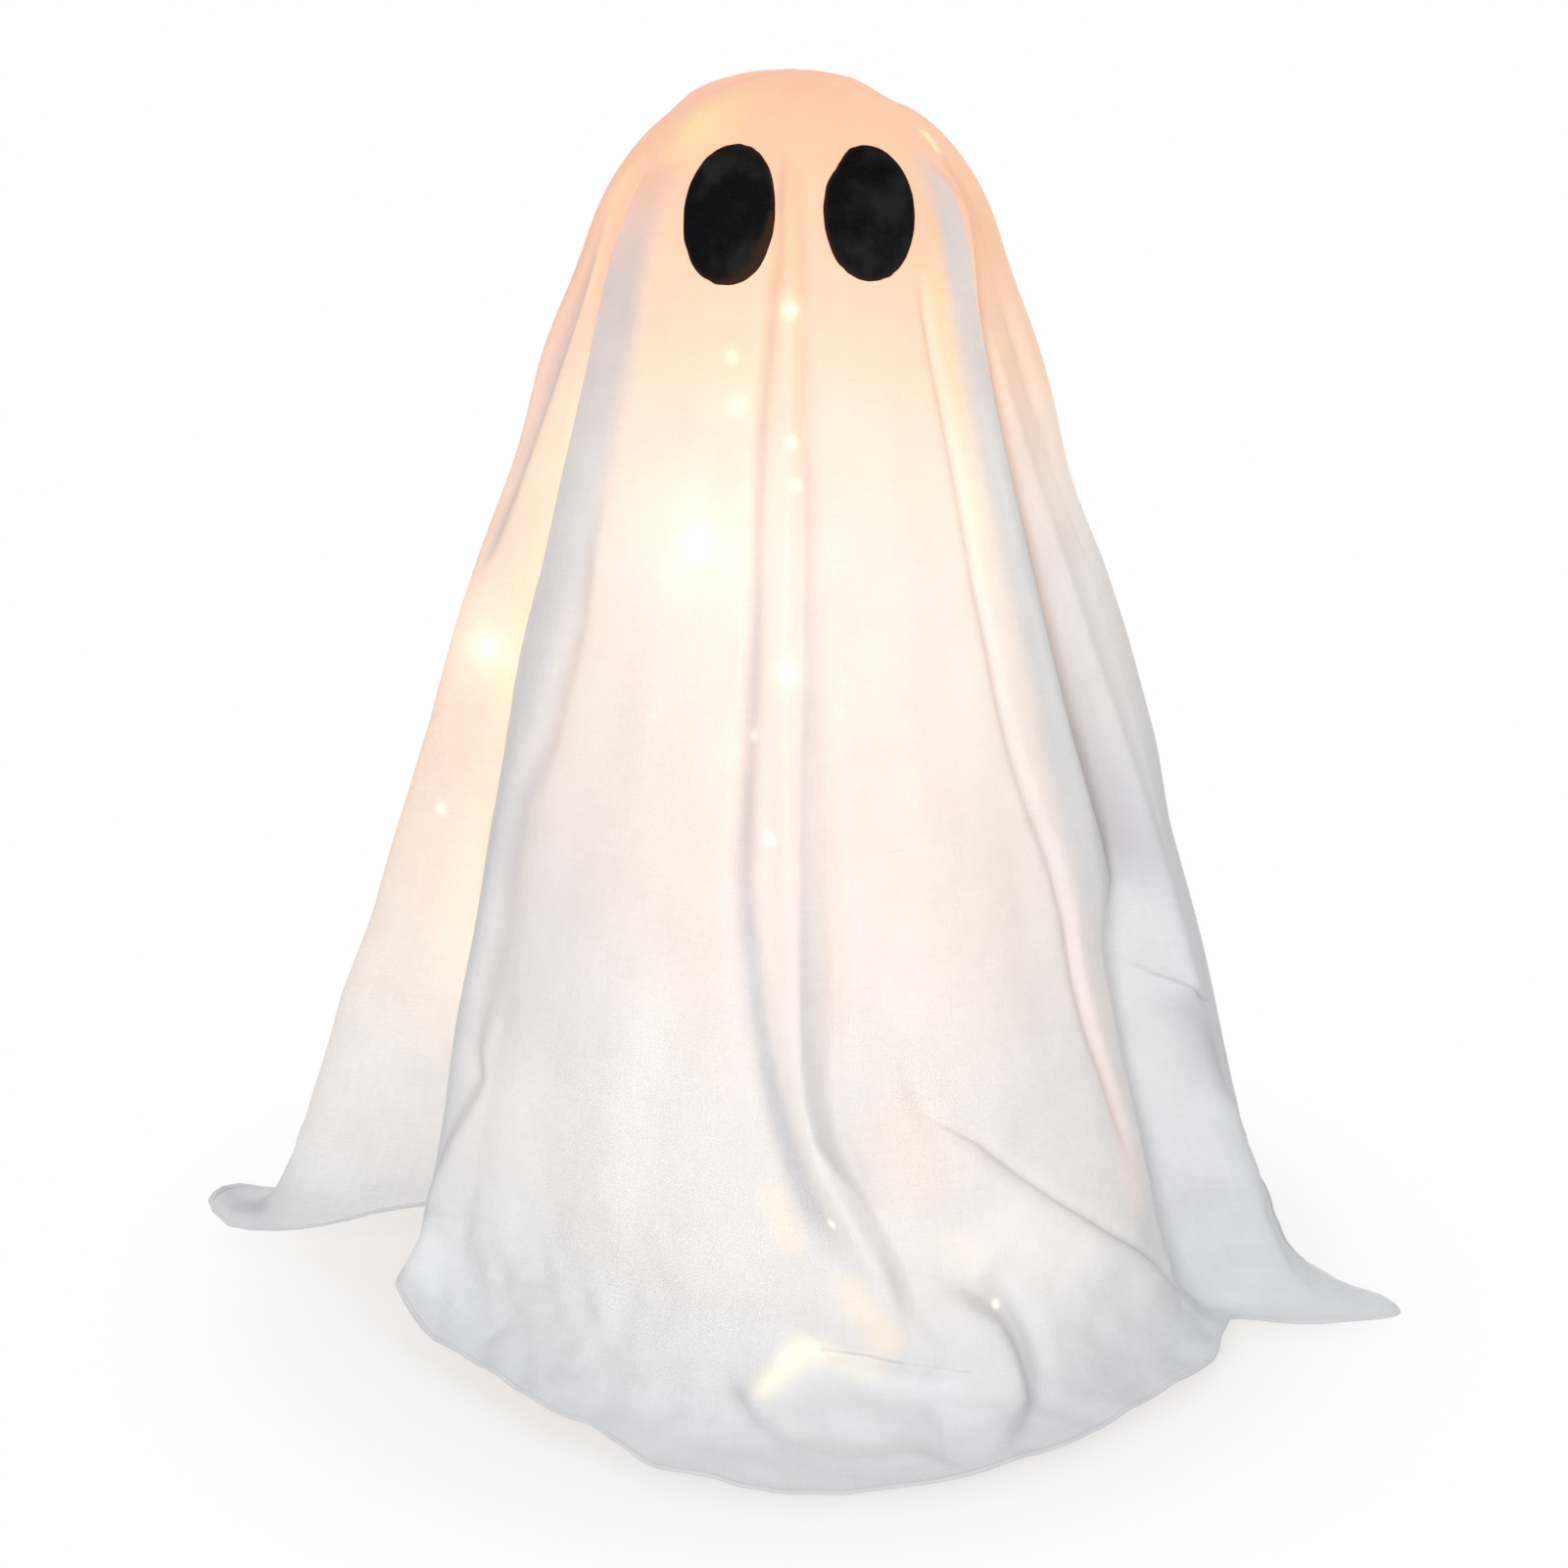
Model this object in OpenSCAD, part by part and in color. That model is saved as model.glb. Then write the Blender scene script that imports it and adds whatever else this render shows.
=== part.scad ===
// Solar ghost garden light: a draped cloth cover over a lit globe head on a wire cone stand.
// Millimetres, +Z up, and the ghost faces -Y. The origin is on the ground, at the centre of the peg holes.

/* [Head globe] */
// Outer radius of the globe that forms the head
globe_r = 96; // [90:1:104]
// Wall of the globe
globe_wall = 2.2; // [1.8:0.2:3]
// Height of the globe's centre above the ground
head_z = 540; // [500:5:580]
// Outer radius of the globe's neck tube
neck_r = 20; // [18:1:23]
// Length of the neck tube below the globe
neck_len = 24; // [22:1:34]

/* [Cloth cover] */
// Gap between the globe and the inside of the cover
cover_gap = 3; // [3:0.5:6]
// Thickness of the cover's cloth
cover_t = 1.5; // [1:0.1:2]
// Middle reach of the cover on the ground
cover_reach = 200; // [195:1:210]
// Width of the soft bend where the cover meets the ground
cover_bend = 36; // [28:2:44]
// How far the cover bellies out halfway down
cover_belly = 9; // [4:1:14]
// Turn of the folds towards the face, from the ground up to the head
cover_fan = 21; // [16:1:24]
// Gap between the cover's hem and the ground
hem_gap = 0.4; // [0.3:0.1:1]
// Radius of the window in the back of the cover
window_r = 40; // [36:1:42]
// Thickness of the felt eyes
felt_t = 1.4; // [1:0.1:2]
// Width of an eye
eye_w = 51; // [44:1:54]
// Height of an eye
eye_h = 74; // [64:1:78]
// Turn of each eye from the middle of the face
eye_turn = 25; // [23:1:28]
// Lift of the eyes above the middle of the globe
eye_lift = 35; // [33:1:37]

/* [Solar cap] */
// Tilt of the solar cap above level
cap_tilt = 40; // [36:1:44]
// Radius of the clear lens over the solar cell
lens_r = 26; // [24:0.5:27]
// Thickness of the lens
lens_t = 1.6; // [1.2:0.1:1.8]
// Thickness of the solar cell
cell_t = 0.8; // [0.6:0.1:1]
// Thickness of the bezel ring
bezel_t = 3; // [2.6:0.1:3.4]
// Thickness of the housing's flange
flange_t = 4.6; // [4.4:0.1:5.4]
// Thickness of the cap's gasket
gasket_t = 1.4; // [1:0.1:2]
// Wall of the cap's cup
cup_wall = 2; // [1.6:0.1:2.4]
// Depth of the cup behind its flange
cup_depth = 33; // [32:1:38]
// Turn that frees the bayonet lugs
unlock_turn = 30; // [26:1:34]
// Radius of the power button
button_r = 3.5; // [3:0.1:3.8]
// Travel of the power button
button_travel = 1.2; // [0.8:0.1:1.4]

/* [Wire stand] */
// Radius of a rib's rod
rib_r = 2.5; // [2:0.1:3]
// Distance from the axis to each rib's lower end
rib_foot_r = 140; // [130:1:146]
// Distance from the axis to each rib's upper end
rib_top_r = 78; // [76:1:80]
// Radius of the hoops' wire
hoop_wire_r = 2; // [1.6:0.1:2.4]
// Thickness of a foot's pad
pad_t = 4; // [3:0.5:6]
// Radius of the hole for a ground peg
peg_r = 3.3; // [2.5:0.1:4]
// Distance from a rib's lower end out to its peg hole
peg_offset = 20; // [18:0.5:22]

/* [Light string] */
// Radius of the light string's wire
wire_r = 0.8; // [0.6:0.1:1]
// Radius of a light bead
bead_r = 2.4; // [2:0.1:3]
// Distance along the wire from bead to bead
bead_pitch = 60; // [50:1:80]
// Turns of the string around the stand
string_turns = 5; // [4:1:5]
// Distance from the ribs' axes out to the string
string_out = 10; // [10:0.5:12]

/* [Hidden] */
$fn = 64;
fit_gap = 0.3;
slip_gap = 0.05;
run_gap = 0.5;

// Ridges and valleys of the cover, counter-clockwise from the right: angle, then in hundredths
// of cover_reach the reach where the fold meets the ground and the run past that bend.
folds = [
    [0, 124, 18], [14, 123, 8], [25, 97, 2.5], [37, 111, 5], [48, 95, 2.5], [60, 113, 7], [69, 97, 4],
    [80, 126, 20], [92, 96, 4], [106, 113, 7], [120, 95, 2.5], [138, 110, 5], [153, 99, 5],
    [167, 140, 20], [177, 116, 9], [185, 85, -12.5], [192, 99.5, 3], [204, 91, 6], [220, 90, 6],
    [240, 93, 10], [256, 98, 16], [263, 91, 21], [268, 99, 19], [274, 92, 24], [285, 100.5, 19],
    [301, 102, 16], [318, 103.5, 13], [331, 105, 11.5], [339, 108, 10], [343, 100, 10], [350, 130, 27]
];
cover_r = globe_r + cover_gap + cover_t;
hem_lift = cover_t + hem_gap;
head_shares = [0.25, 0.5, 0.75, 1];
hang_shares = [0, 0.35, 0.6, 0.8, 1];

// Solar cap, measured along its axis from the globe's centre
lens_seat_r = lens_r + fit_gap;
shoulder_r = button_r + 0.9;
pocket_r = shoulder_r + fit_gap;
button_orbit = lens_seat_r + pocket_r + 0.5;
stem_r = 1.6;
board_r = button_orbit + stem_r + 0.7;
cup_in = board_r + fit_gap;
cup_r = cup_in + cup_wall;
lug_r = cup_r + 2.4;
collar_in = cup_r + run_gap;
notch_r = lug_r + run_gap;
collar_r = notch_r + 1.8;
bezel_r = collar_r + 1.5;
well_r = bezel_r + 1;
mouth_c = sqrt(pow(globe_r, 2) - pow(well_r, 2));
cap_face = mouth_c - 0.8;
bezel_c = cap_face - bezel_t;
flange_c = bezel_c - flange_t;
gasket_c = flange_c - gasket_t;
seat_c = gasket_c - 0.2;
collar_end = seat_c - 12;
lug_t = 3;
lug_c = collar_end - 0.4 - lug_t;
cup_end = flange_c - cup_depth;
floor_t = 3;
floor_c = cup_end - floor_t;
board_t = 1.6;
post_h = 7;
board_top = flange_c - post_h;
board_c = board_top - board_t;
post_orbit = cup_in - 9;
bezel_screw_orbit = (lens_seat_r + bezel_r) / 2;
floor_screw_orbit = cup_in - 2;
floor_screw_first = 30;
shoulder_t = 1;
shoulder_top = bezel_c - 0.1;
shoulder_c = shoulder_top - shoulder_t;
pocket_c = shoulder_c - button_travel - 0.4;
switch_top = board_top + 3.4;
plunger_top = switch_top + 0.6;
stem_c = plunger_top + button_travel + 0.2;
lug_angles = [30, 150, 270];

// Battery, lying across the cup on its tray
cell_r = 7.25;
cell_len = 50.5;
tray_base = 2.5;
tray_wall = 1.5;
spring_len = 5;
plate_t = 0.6;
tray_in = cell_len + spring_len + plate_t + 0.4;
tray_len = tray_in + 2 * tray_wall;
tray_w = 19;
cell_c = cup_end + tray_base + cell_r + 0.2;
cell_x = (spring_len - plate_t) / 2;
lamp_t = 1.6;
lamp_r = 14;
lead_r = 1.4;
lead_bow = globe_r / 24;

// Hub, ribs, feet and hoops
hub_gap = 0.6;
hub_t = 4;
saucer_r = globe_r + hub_gap + hub_t;
saucer_lip = 1.2;
hub_rim = sqrt(pow(saucer_r, 2) - pow(rib_top_r + saucer_lip, 2));
hub_face = saucer_r + 2.5;
nut_t = 8;
nut_r = neck_r + 8;
gland_t = 3;
rib_sink = 2.5;
rib_top_z = head_z - sqrt(pow(saucer_r, 2) - pow(rib_top_r, 2)) - rib_sink;
rib_foot_z = pad_t + 1;
rib_run = rib_top_z - rib_foot_z;
rib_lean = atan((rib_foot_r - rib_top_r) / rib_run);
rib_len = norm([rib_foot_r - rib_top_r, rib_run]);
socket_r = rib_r + 4;
socket_depth = 24;
rib_screw_r = 1.5;
rib_angles = [45, 135, 225, 315];
peg_circle_r = rib_foot_r + peg_offset;

// Light string: a lead from the neck, then turns down the outside of the ribs
string_top = head_z - globe_r - neck_len - gland_t - 12;
string_low = head_z / 9;
string_start = 130;
lead_turn = 120;
quarter_drop = (string_top - string_low) / string_turns / 4;
hoop_quarters = [1.5, 9.5, 17.5];
clip_w = 12;
clip_h = 8;
string_r0 = rib_reach(string_top) + string_out;
string_r1 = rib_reach(string_low) + string_out;
string_angle = 360 * string_turns;
string_steps = 24 * string_turns;
string_radians = string_angle * PI / 180;
string_rate = (string_r1 - string_r0) / string_radians;
string_length = string_r0 * string_radians + string_rate * pow(string_radians, 2) / 2;
bead_count = floor(string_length / bead_pitch);

// Distance of the ribs' axes from the centre at a height
function rib_reach(z) = rib_top_r + (rib_top_z - z) * tan(rib_lean);

// Lean of the cover from upright, for a fold that would meet the ground at reach g
function cover_lean(g) = acos(cover_r / norm([g, head_z])) - atan2(head_z, g);
function slant_len(g) = (head_z + cover_r * sin(cover_lean(g))) / cos(cover_lean(g));

// Rises softly from nothing to t across the bend, and how fast it rises
function soft(t) = (t + norm([t, cover_bend])) / 2;
function soft_rate(t) = (1 + t / norm([t, cover_bend])) / 2;

// Points of the cover as [distance from the axis, height], set in from its outside by depth
function head_point(g, share, depth) =
    let (p = (90 - cover_lean(g)) * share)
    [(cover_r - depth) * sin(p), head_z + (cover_r - depth) * cos(p)];
function hang_point(g, t, depth) =
    let (a = cover_lean(g), f = soft(t), k = soft_rate(t))
    let (n = [cos(a) * (1 - k), sin(a) + (1 - sin(a)) * k])
    let (u = n / norm(n), belly = cover_belly * sin(180 * max(0, min(1, -t / slant_len(g)))))
    [g + sin(a) * t + (1 - sin(a)) * f + belly - depth * u[0],
        hem_lift + cos(a) * (f - t) - depth * u[1]];
function cover_column(fold, depth) =
    let (g = fold[1], run = fold[2], from = -2.2 * cover_bend)
    concat(
        [for (s = head_shares) head_point(g, s, depth)],
        [hang_point(g, -0.55 * slant_len(g), depth)],
        [for (s = hang_shares) hang_point(g, from + (run - from) * s, depth)]
    );

// Columns of the cover at every ridge, every valley and halfway between them
function cover_columns() = [
    for (i = [0:len(folds) - 1], h = [0, 0.5])
        let (a = folds[i], wrap = i + 1 == len(folds) ? 360 : 0)
        let (b = folds[(i + 1) % len(folds)] + [wrap, 0, 0])
        let (c = a + (b - a) * h)
        [c[0], c[1] * cover_reach / 100, c[2] * cover_reach / 100]
];
function around(p, angle) =
    let (a = angle - cover_fan * sin(angle - 270) * min(1, p[1] / head_z))
    [p[0] * cos(a), p[0] * sin(a), p[1]];
function cover_points(columns, depth) = concat(
    [[0, 0, head_z + cover_r - depth]],
    [for (c = columns) for (p = cover_column(c, depth)) around(p, c[0])]
);
function cover_faces(n, m, base, flip) = [
    for (c = [0:n - 1])
        let (d = (c + 1) % n)
        for (f = concat(
            [[base, base + 1 + d * m, base + 1 + c * m]],
            [for (r = [0:m - 2]) [base + 1 + c * m + r, base + 1 + d * m + r, base + 2 + d * m + r]],
            [for (r = [0:m - 2]) [base + 1 + c * m + r, base + 2 + d * m + r, base + 2 + c * m + r]]
        )) flip ? [f[2], f[1], f[0]] : f
];

// Tube of radius r along a list of points, with rings carried along without twist
function unit(v) = v / norm(v);
function tangents(path) = [
    for (i = [0:len(path) - 1])
        unit(path[min(i + 1, len(path) - 1)] - path[max(i - 1, 0)])
];
function square_to(t) = unit(cross(t, abs(t[2]) < 0.9 ? [0, 0, 1] : [0, 1, 0]));
function carried(dirs) = [
    for (i = 0, n = square_to(dirs[0]);
        i < len(dirs);
        i = i + 1, n = i < len(dirs) ? unit(n - (n * dirs[i]) * dirs[i]) : n) n
];
module swept_tube(path, r, sides) {
    dirs = tangents(path);
    norms = carried(dirs);
    last = len(path) - 1;
    points = [
        for (i = [0:last], j = [0:sides - 1])
            path[i] + r * (cos(360 * j / sides) * norms[i]
                + sin(360 * j / sides) * cross(dirs[i], norms[i]))
    ];
    walls = [
        for (i = [0:last - 1], j = [0:sides - 1])
            let (a = i * sides + j, b = i * sides + (j + 1) % sides)
            for (f = [[a + sides, b + sides, b], [a + sides, b, a]]) f
    ];
    ends = [
        for (j = [1:sides - 2])
            for (f = [[0, j, j + 1], [last * sides, last * sides + j + 1, last * sides + j]]) f
    ];
    polyhedron(points = points, faces = concat(walls, ends));
}

// Height and place of the light string at an angle past the start of its turns
function string_z(a) = string_top - a / 360 * 4 * quarter_drop;
function string_place(a) =
    let (r = rib_reach(string_z(a)) + string_out)
    [r * cos(string_start + a), r * sin(string_start + a), string_z(a)];
function lead_place(t) =
    let (r = string_r0 * (1 - pow(1 - t, 2)), a = string_start - lead_turn * (1 - t))
    [r * cos(a), r * sin(a), string_top + 3 * (1 - t) * (1 - t)];
string_mouth = [0, 0, head_z - globe_r - neck_len - gland_t];
string_path = concat(
    [string_mouth, string_mouth - [0, 0, 2], string_mouth - [0, 0, 4], [0, 0, string_top + 5]],
    [for (i = [1:11]) lead_place(i / 12)],
    [for (i = [0:string_steps]) string_place(string_angle * i / string_steps)]
);
function least_gap(path, apart) = min([
    for (i = [0:len(path) - 1 - apart], j = [i + apart:len(path) - 1]) norm(path[i] - path[j])
]);
echo(string_least_gap = least_gap([for (i = [0:string_steps]) string_place(string_angle * i / string_steps)], 12)
    - 2 * wire_r);

// Sets its children on the solar cap's axis, with the globe's centre as their origin
module on_cap_axis() {
    translate([0, 0, head_z])
        rotate([cap_tilt - 90, 0, 0])
            children();
}

// A ring around the axis from height z up to z + h
module ring(inner, outer, z, h) {
    translate([0, 0, z])
        difference() {
            cylinder(r = outer, h = h);
            translate([0, 0, -1])
                cylinder(r = inner, h = h + 2);
        }
}
module disc(r, z, h) {
    translate([0, 0, z])
        cylinder(r = r, h = h);
}
module spread(count, r, first) {
    for (i = [0:count - 1])
        rotate([0, 0, first + 360 * i / count])
            translate([r, 0, 0])
                children();
}

// Sets its children at a rib's lower end, with +Z along the rib and +X outward
module along_rib(i) {
    rotate([0, 0, rib_angles[i]])
        translate([rib_foot_r, 0, rib_foot_z])
            rotate([0, -rib_lean, 0])
                children();
}
module rod(i, r, from, len) {
    along_rib(i)
        translate([0, 0, from])
            cylinder(r = r, h = len);
}

module ghost_cover() {
    columns = cover_columns();
    n = len(columns);
    m = len(head_shares) + 1 + len(hang_shares);
    inner = 1 + n * m;
    rim = [
        for (c = [0:n - 1])
            let (a = 1 + c * m + m - 1, b = 1 + (c + 1) % n * m + m - 1)
            for (f = [[a, b, inner + b], [a, inner + b, inner + a]]) f
    ];
    color("ivory")
        difference() {
            polyhedron(
                points = concat(cover_points(columns, 0), cover_points(columns, cover_t)),
                faces = concat(cover_faces(n, m, 0, false), cover_faces(n, m, inner, true), rim)
            );
            on_cap_axis()
                disc(window_r, globe_r / 2, globe_r);
        }
}

// Sewn tape around the window's edge
module window_binding() {
    c = sqrt(pow(cover_r, 2) - pow(window_r, 2));
    color("antiquewhite")
        on_cap_axis()
            ring(window_r - 1, window_r + 4, c - 3, 2.4);
}

module eye(side) {
    color("black")
        translate([0, 0, head_z])
            intersection() {
                difference() {
                    sphere(r = cover_r + felt_t);
                    sphere(r = cover_r - 0.1);
                }
                rotate([0, 0, side * eye_turn])
                    rotate([90 - eye_lift, 0, 0])
                        linear_extrude(height = 2 * cover_r)
                            polygon([for (a = [0:10:350]) [eye_w / 2 * cos(a), eye_h / 2 * sin(a)]]);
            }
}
module eye_left() {
    eye(-1);
}
module eye_right() {
    eye(1);
}

// Globe with a stepped well for the solar cap, a bayonet collar and a neck tube
module globe_shell() {
    color("floralwhite")
        difference() {
            union() {
                translate([0, 0, head_z])
                    difference() {
                        sphere(r = globe_r);
                        sphere(r = globe_r - globe_wall);
                    }
                translate([0, 0, head_z])
                    intersection() {
                        sphere(r = globe_r);
                        rotate([cap_tilt - 90, 0, 0])
                            disc(well_r + globe_wall, seat_c - globe_wall, globe_r);
                    }
                on_cap_axis()
                    disc(collar_r, collar_end, seat_c - collar_end);
                translate([0, 0, head_z - globe_r - neck_len])
                    cylinder(r = neck_r, h = neck_len + globe_wall + 3);
            }
            on_cap_axis()
                disc(well_r, seat_c, globe_r);
            on_cap_axis()
                disc(collar_in, collar_end - 1, globe_r);
            on_cap_axis()
                for (a = lug_angles)
                    rotate([0, 0, a + unlock_turn])
                        translate([0, -6.5, collar_end - 1])
                            cube([notch_r, 13, globe_r]);
            translate([0, 0, head_z - globe_r - neck_len - 1])
                cylinder(r = neck_r - globe_wall, h = neck_len + globe_r / 2);
        }
}

// Saucer under the globe with a socket for each rib
module crown_hub() {
    color("dimgray")
        difference() {
            union() {
                translate([0, 0, head_z])
                    difference() {
                        sphere(r = saucer_r);
                        translate([-2 * globe_r, -2 * globe_r, -hub_rim])
                            cube(4 * globe_r);
                    }
                translate([0, 0, head_z - hub_face])
                    cylinder(r = nut_r + 3, h = hub_t + 4);
                for (i = [0:3])
                    rod(i, socket_r, rib_len - socket_depth, socket_depth + 5);
            }
            translate([0, 0, head_z])
                sphere(r = globe_r + hub_gap);
            translate([0, 0, head_z - 2 * globe_r])
                cylinder(r = neck_r + fit_gap, h = 2 * globe_r);
            for (i = [0:3])
                rod(i, rib_r + slip_gap, rib_len - socket_depth - 1, socket_depth + 1.2);
            for (i = [0:3])
                rib_screw(i, rib_screw_r + slip_gap, 0, socket_r + 3);
        }
}
module rib_screw(i, r, from, to) {
    along_rib(i)
        translate([from, 0, rib_len - socket_depth + 8])
            rotate([0, 90, 0])
                cylinder(r = r, h = to - from);
}
module rib_screws() {
    color("silver")
        for (i = [0:3])
            rib_screw(i, rib_screw_r, rib_r + 0.1, socket_r - 0.4);
}

// Ring nut that pulls the globe's neck down into the saucer
module neck_nut() {
    color("dimgray")
        translate([0, 0, head_z - hub_face - nut_t])
            difference() {
                cylinder(r = nut_r, h = nut_t);
                translate([0, 0, -1])
                    cylinder(r = neck_r + slip_gap, h = nut_t + 2);
                spread(10, nut_r + 1, 0)
                    translate([0, 0, -1])
                        cylinder(r = 2.5, h = nut_t + 2);
            }
}

module string_gland() {
    color("black")
        translate([0, 0, head_z - globe_r - neck_len - gland_t]) {
            cylinder(r = neck_r, h = gland_t);
            cylinder(r = neck_r - globe_wall - slip_gap, h = gland_t + 10);
        }
}

// Lead inside the globe from the cap's floor to the gland in the neck
module head_lead() {
    top = [0, cos(cap_tilt), sin(cap_tilt)];
    mouth = [0, 0, gland_t + 10 - globe_r - neck_len - gland_t];
    start = (floor_c - lamp_t - 0.4) * top;
    path = concat(
        [start, start - 4 * top, start - 9 * top, start - 16 * top],
        lead_bow * [[1, 2, 0.5], [2.25, -0.5, -4.5], [2.5, -1.5, -10.5], [1.5, -0.75, -16]],
        [mouth + [1, 0, 16], mouth + [0, 0, 8], mouth + [0, 0, 3], mouth]
    );
    color("black")
        translate([0, 0, head_z])
            swept_tube(path, lead_r, 8);
}

module led_wire() {
    color("peru")
        swept_tube(string_path, wire_r, 6);
}

// Beads at equal steps along the string's turns
module led_beads() {
    color("lightyellow")
        for (k = [1:bead_count])
            let (s = k * bead_pitch - bead_pitch / 2)
            let (a = (sqrt(pow(string_r0, 2) + 2 * string_rate * s) - string_r0) / string_rate)
            translate(string_place(a * 180 / PI))
                sphere(r = bead_r, $fn = 24);
}

// Clips that hold the string off the ribs, one at each crossing
module string_clips() {
    first = (rib_angles[1] - string_start + 360) % 90;
    color("gray")
        for (k = [0:4 * string_turns - 1])
            let (a = first + 90 * k, z = string_z(a), p = string_place(a))
            let (i = (1 + k) % 4, along = (z - rib_foot_z) / cos(rib_lean))
            difference() {
                union() {
                    rod(i, rib_r + 1.5, along - 2.5, 5);
                    rotate([0, 0, rib_angles[i]])
                        translate([rib_reach(z), 0, z])
                            rotate([0, 90, 0])
                                cylinder(r = 1.5, h = string_out - wire_r - slip_gap);
                    translate(p)
                        rotate([0, 0, rib_angles[i]])
                            rotate([90, 0, 0])
                                translate([0, 0, -2])
                                    cylinder(r = wire_r + 1.2, h = 4);
                }
                rod(i, rib_r + slip_gap, along - 10, 20);
            }
}

module rib(i) {
    color("darkgray")
        rod(i, rib_r, 0, rib_len);
}
module rib_rear_right() {
    rib(0);
}
module rib_rear_left() {
    rib(1);
}
module rib_front_left() {
    rib(2);
}
module rib_front_right() {
    rib(3);
}

function hoop_z(k) = string_top - quarter_drop * hoop_quarters[k];
function hoop_reach(k) = rib_reach(hoop_z(k)) + (rib_r + hoop_wire_r) / cos(rib_lean) + 0.1;
module hoop_ring(k, r) {
    translate([0, 0, hoop_z(k)])
        rotate_extrude($fn = 96)
            translate([hoop_reach(k), 0])
                circle(r = r, $fn = 24);
}
module hoop_upper() {
    color("darkgray")
        hoop_ring(0, hoop_wire_r);
}
module hoop_middle() {
    color("darkgray")
        hoop_ring(1, hoop_wire_r);
}
module hoop_lower() {
    color("darkgray")
        hoop_ring(2, hoop_wire_r);
}

// Snap clips where a hoop crosses a rib
module hoop_clips() {
    color("gray")
        for (k = [0:2], i = [0:3])
            difference() {
                rotate([0, 0, rib_angles[i]])
                    translate([rib_reach(hoop_z(k)) - rib_r - 1.4, -clip_w / 2, hoop_z(k) - clip_h / 2])
                        cube([2 * rib_r + 2 * hoop_wire_r + 2.2, clip_w, clip_h]);
                rod(i, rib_r + slip_gap, 0, rib_len);
                hoop_ring(k, hoop_wire_r + slip_gap);
            }
}

// Foot with a socket for a rib and a tab with a peg hole
module foot(i) {
    tab_r = peg_r + 5;
    color("dimgray")
        difference() {
            union() {
                rotate([0, 0, rib_angles[i]]) {
                    translate([rib_foot_r, 0, 0])
                        cylinder(r = socket_r + 6, h = pad_t);
                    translate([rib_foot_r, -tab_r, 0])
                        cube([peg_offset, 2 * tab_r, pad_t]);
                    translate([peg_circle_r, 0, 0])
                        cylinder(r = tab_r, h = pad_t);
                }
                rod(i, socket_r, -3, 27);
            }
            rod(i, rib_r + slip_gap, -slip_gap, 40);
            rotate([0, 0, rib_angles[i]])
                translate([peg_circle_r, 0, -1])
                    cylinder(r = peg_r, h = pad_t + 2);
        }
}
module foot_rear_right() {
    foot(0);
}
module foot_rear_left() {
    foot(1);
}
module foot_front_left() {
    foot(2);
}
module foot_front_right() {
    foot(3);
}

// Cup, flange, lens seat, button pocket, board posts and bayonet lugs of the solar cap
module cap_housing() {
    color("darkslategray")
        on_cap_axis()
            difference() {
                union() {
                    disc(bezel_r, flange_c, flange_t);
                    ring(cup_in, cup_r, cup_end, cup_depth + 1);
                    spread(3, post_orbit, 0)
                        disc(2.8, board_top, post_h + 1);
                    spread(3, floor_screw_orbit, floor_screw_first)
                        disc(3.2, cup_end + 0.2, 12);
                    for (a = lug_angles)
                        rotate([0, 0, a])
                            translate([0, 0, lug_c])
                                intersection() {
                                    ring(cup_r - 0.5, lug_r, 0, lug_t);
                                    translate([0, -5, -1])
                                        cube([lug_r + 1, 10, lug_t + 2]);
                                }
                }
                disc(lens_seat_r, bezel_c - lens_t - cell_t, 10);
                rotate([0, 0, 90])
                    translate([button_orbit, 0, 0]) {
                        disc(pocket_r, pocket_c, 10);
                        disc(stem_r + fit_gap, flange_c - 1, 10);
                    }
                spread(4, bezel_screw_orbit, 45)
                    disc(1.2 + slip_gap, bezel_c - 3.2, 10);
                spread(3, post_orbit, 0)
                    disc(1 + slip_gap, board_top - 1, 6);
                spread(3, floor_screw_orbit, floor_screw_first)
                    disc(1.2 + slip_gap, cup_end - 1, 9);
            }
}
module cap_gasket() {
    color("black")
        on_cap_axis()
            ring(collar_in + 0.4, bezel_r - 0.5, gasket_c, gasket_t);
}
module bezel_ring() {
    color("darkslategray")
        on_cap_axis()
            difference() {
                ring(lens_r - 1.5, bezel_r, bezel_c, bezel_t);
                rotate([0, 0, 90])
                    translate([button_orbit, 0, 0])
                        disc(button_r + fit_gap, bezel_c - 1, 10);
                spread(4, bezel_screw_orbit, 45) {
                    disc(1.2 + slip_gap, bezel_c - 1, 10);
                    disc(2.3 + slip_gap, cap_face - 1.6, 10);
                }
            }
}

// A pan-head screw along +Z with its head's underside at z
module screw(z, len, shank, head, head_t) {
    difference() {
        union() {
            disc(shank, z - len, len);
            disc(head, z, head_t);
        }
        translate([-head, -0.3, z + head_t - 0.6])
            cube([2 * head, 0.6, 2]);
    }
}
module bezel_screws() {
    color("silver")
        on_cap_axis()
            spread(4, bezel_screw_orbit, 45)
                screw(cap_face - 1.6, bezel_t - 1.6 + 3, 1.2, 2.3, 1.4);
}
module solar_lens() {
    color("lightblue")
        on_cap_axis()
            disc(lens_r, bezel_c - lens_t, lens_t);
}
module solar_cell() {
    color("navy")
        on_cap_axis()
            disc(lens_r - 1, bezel_c - lens_t - cell_t, cell_t);
}
module control_board() {
    color("darkgreen")
        on_cap_axis()
            difference() {
                disc(board_r, board_c, board_t);
                spread(3, post_orbit, 0)
                    disc(1 + slip_gap, board_c - 1, 10);
            }
}
module board_screws() {
    color("silver")
        on_cap_axis()
            spread(3, post_orbit, 0)
                translate([0, 0, board_c])
                    rotate([180, 0, 0])
                        screw(0, board_t + 4, 1, 2, 1.2);
}
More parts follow.
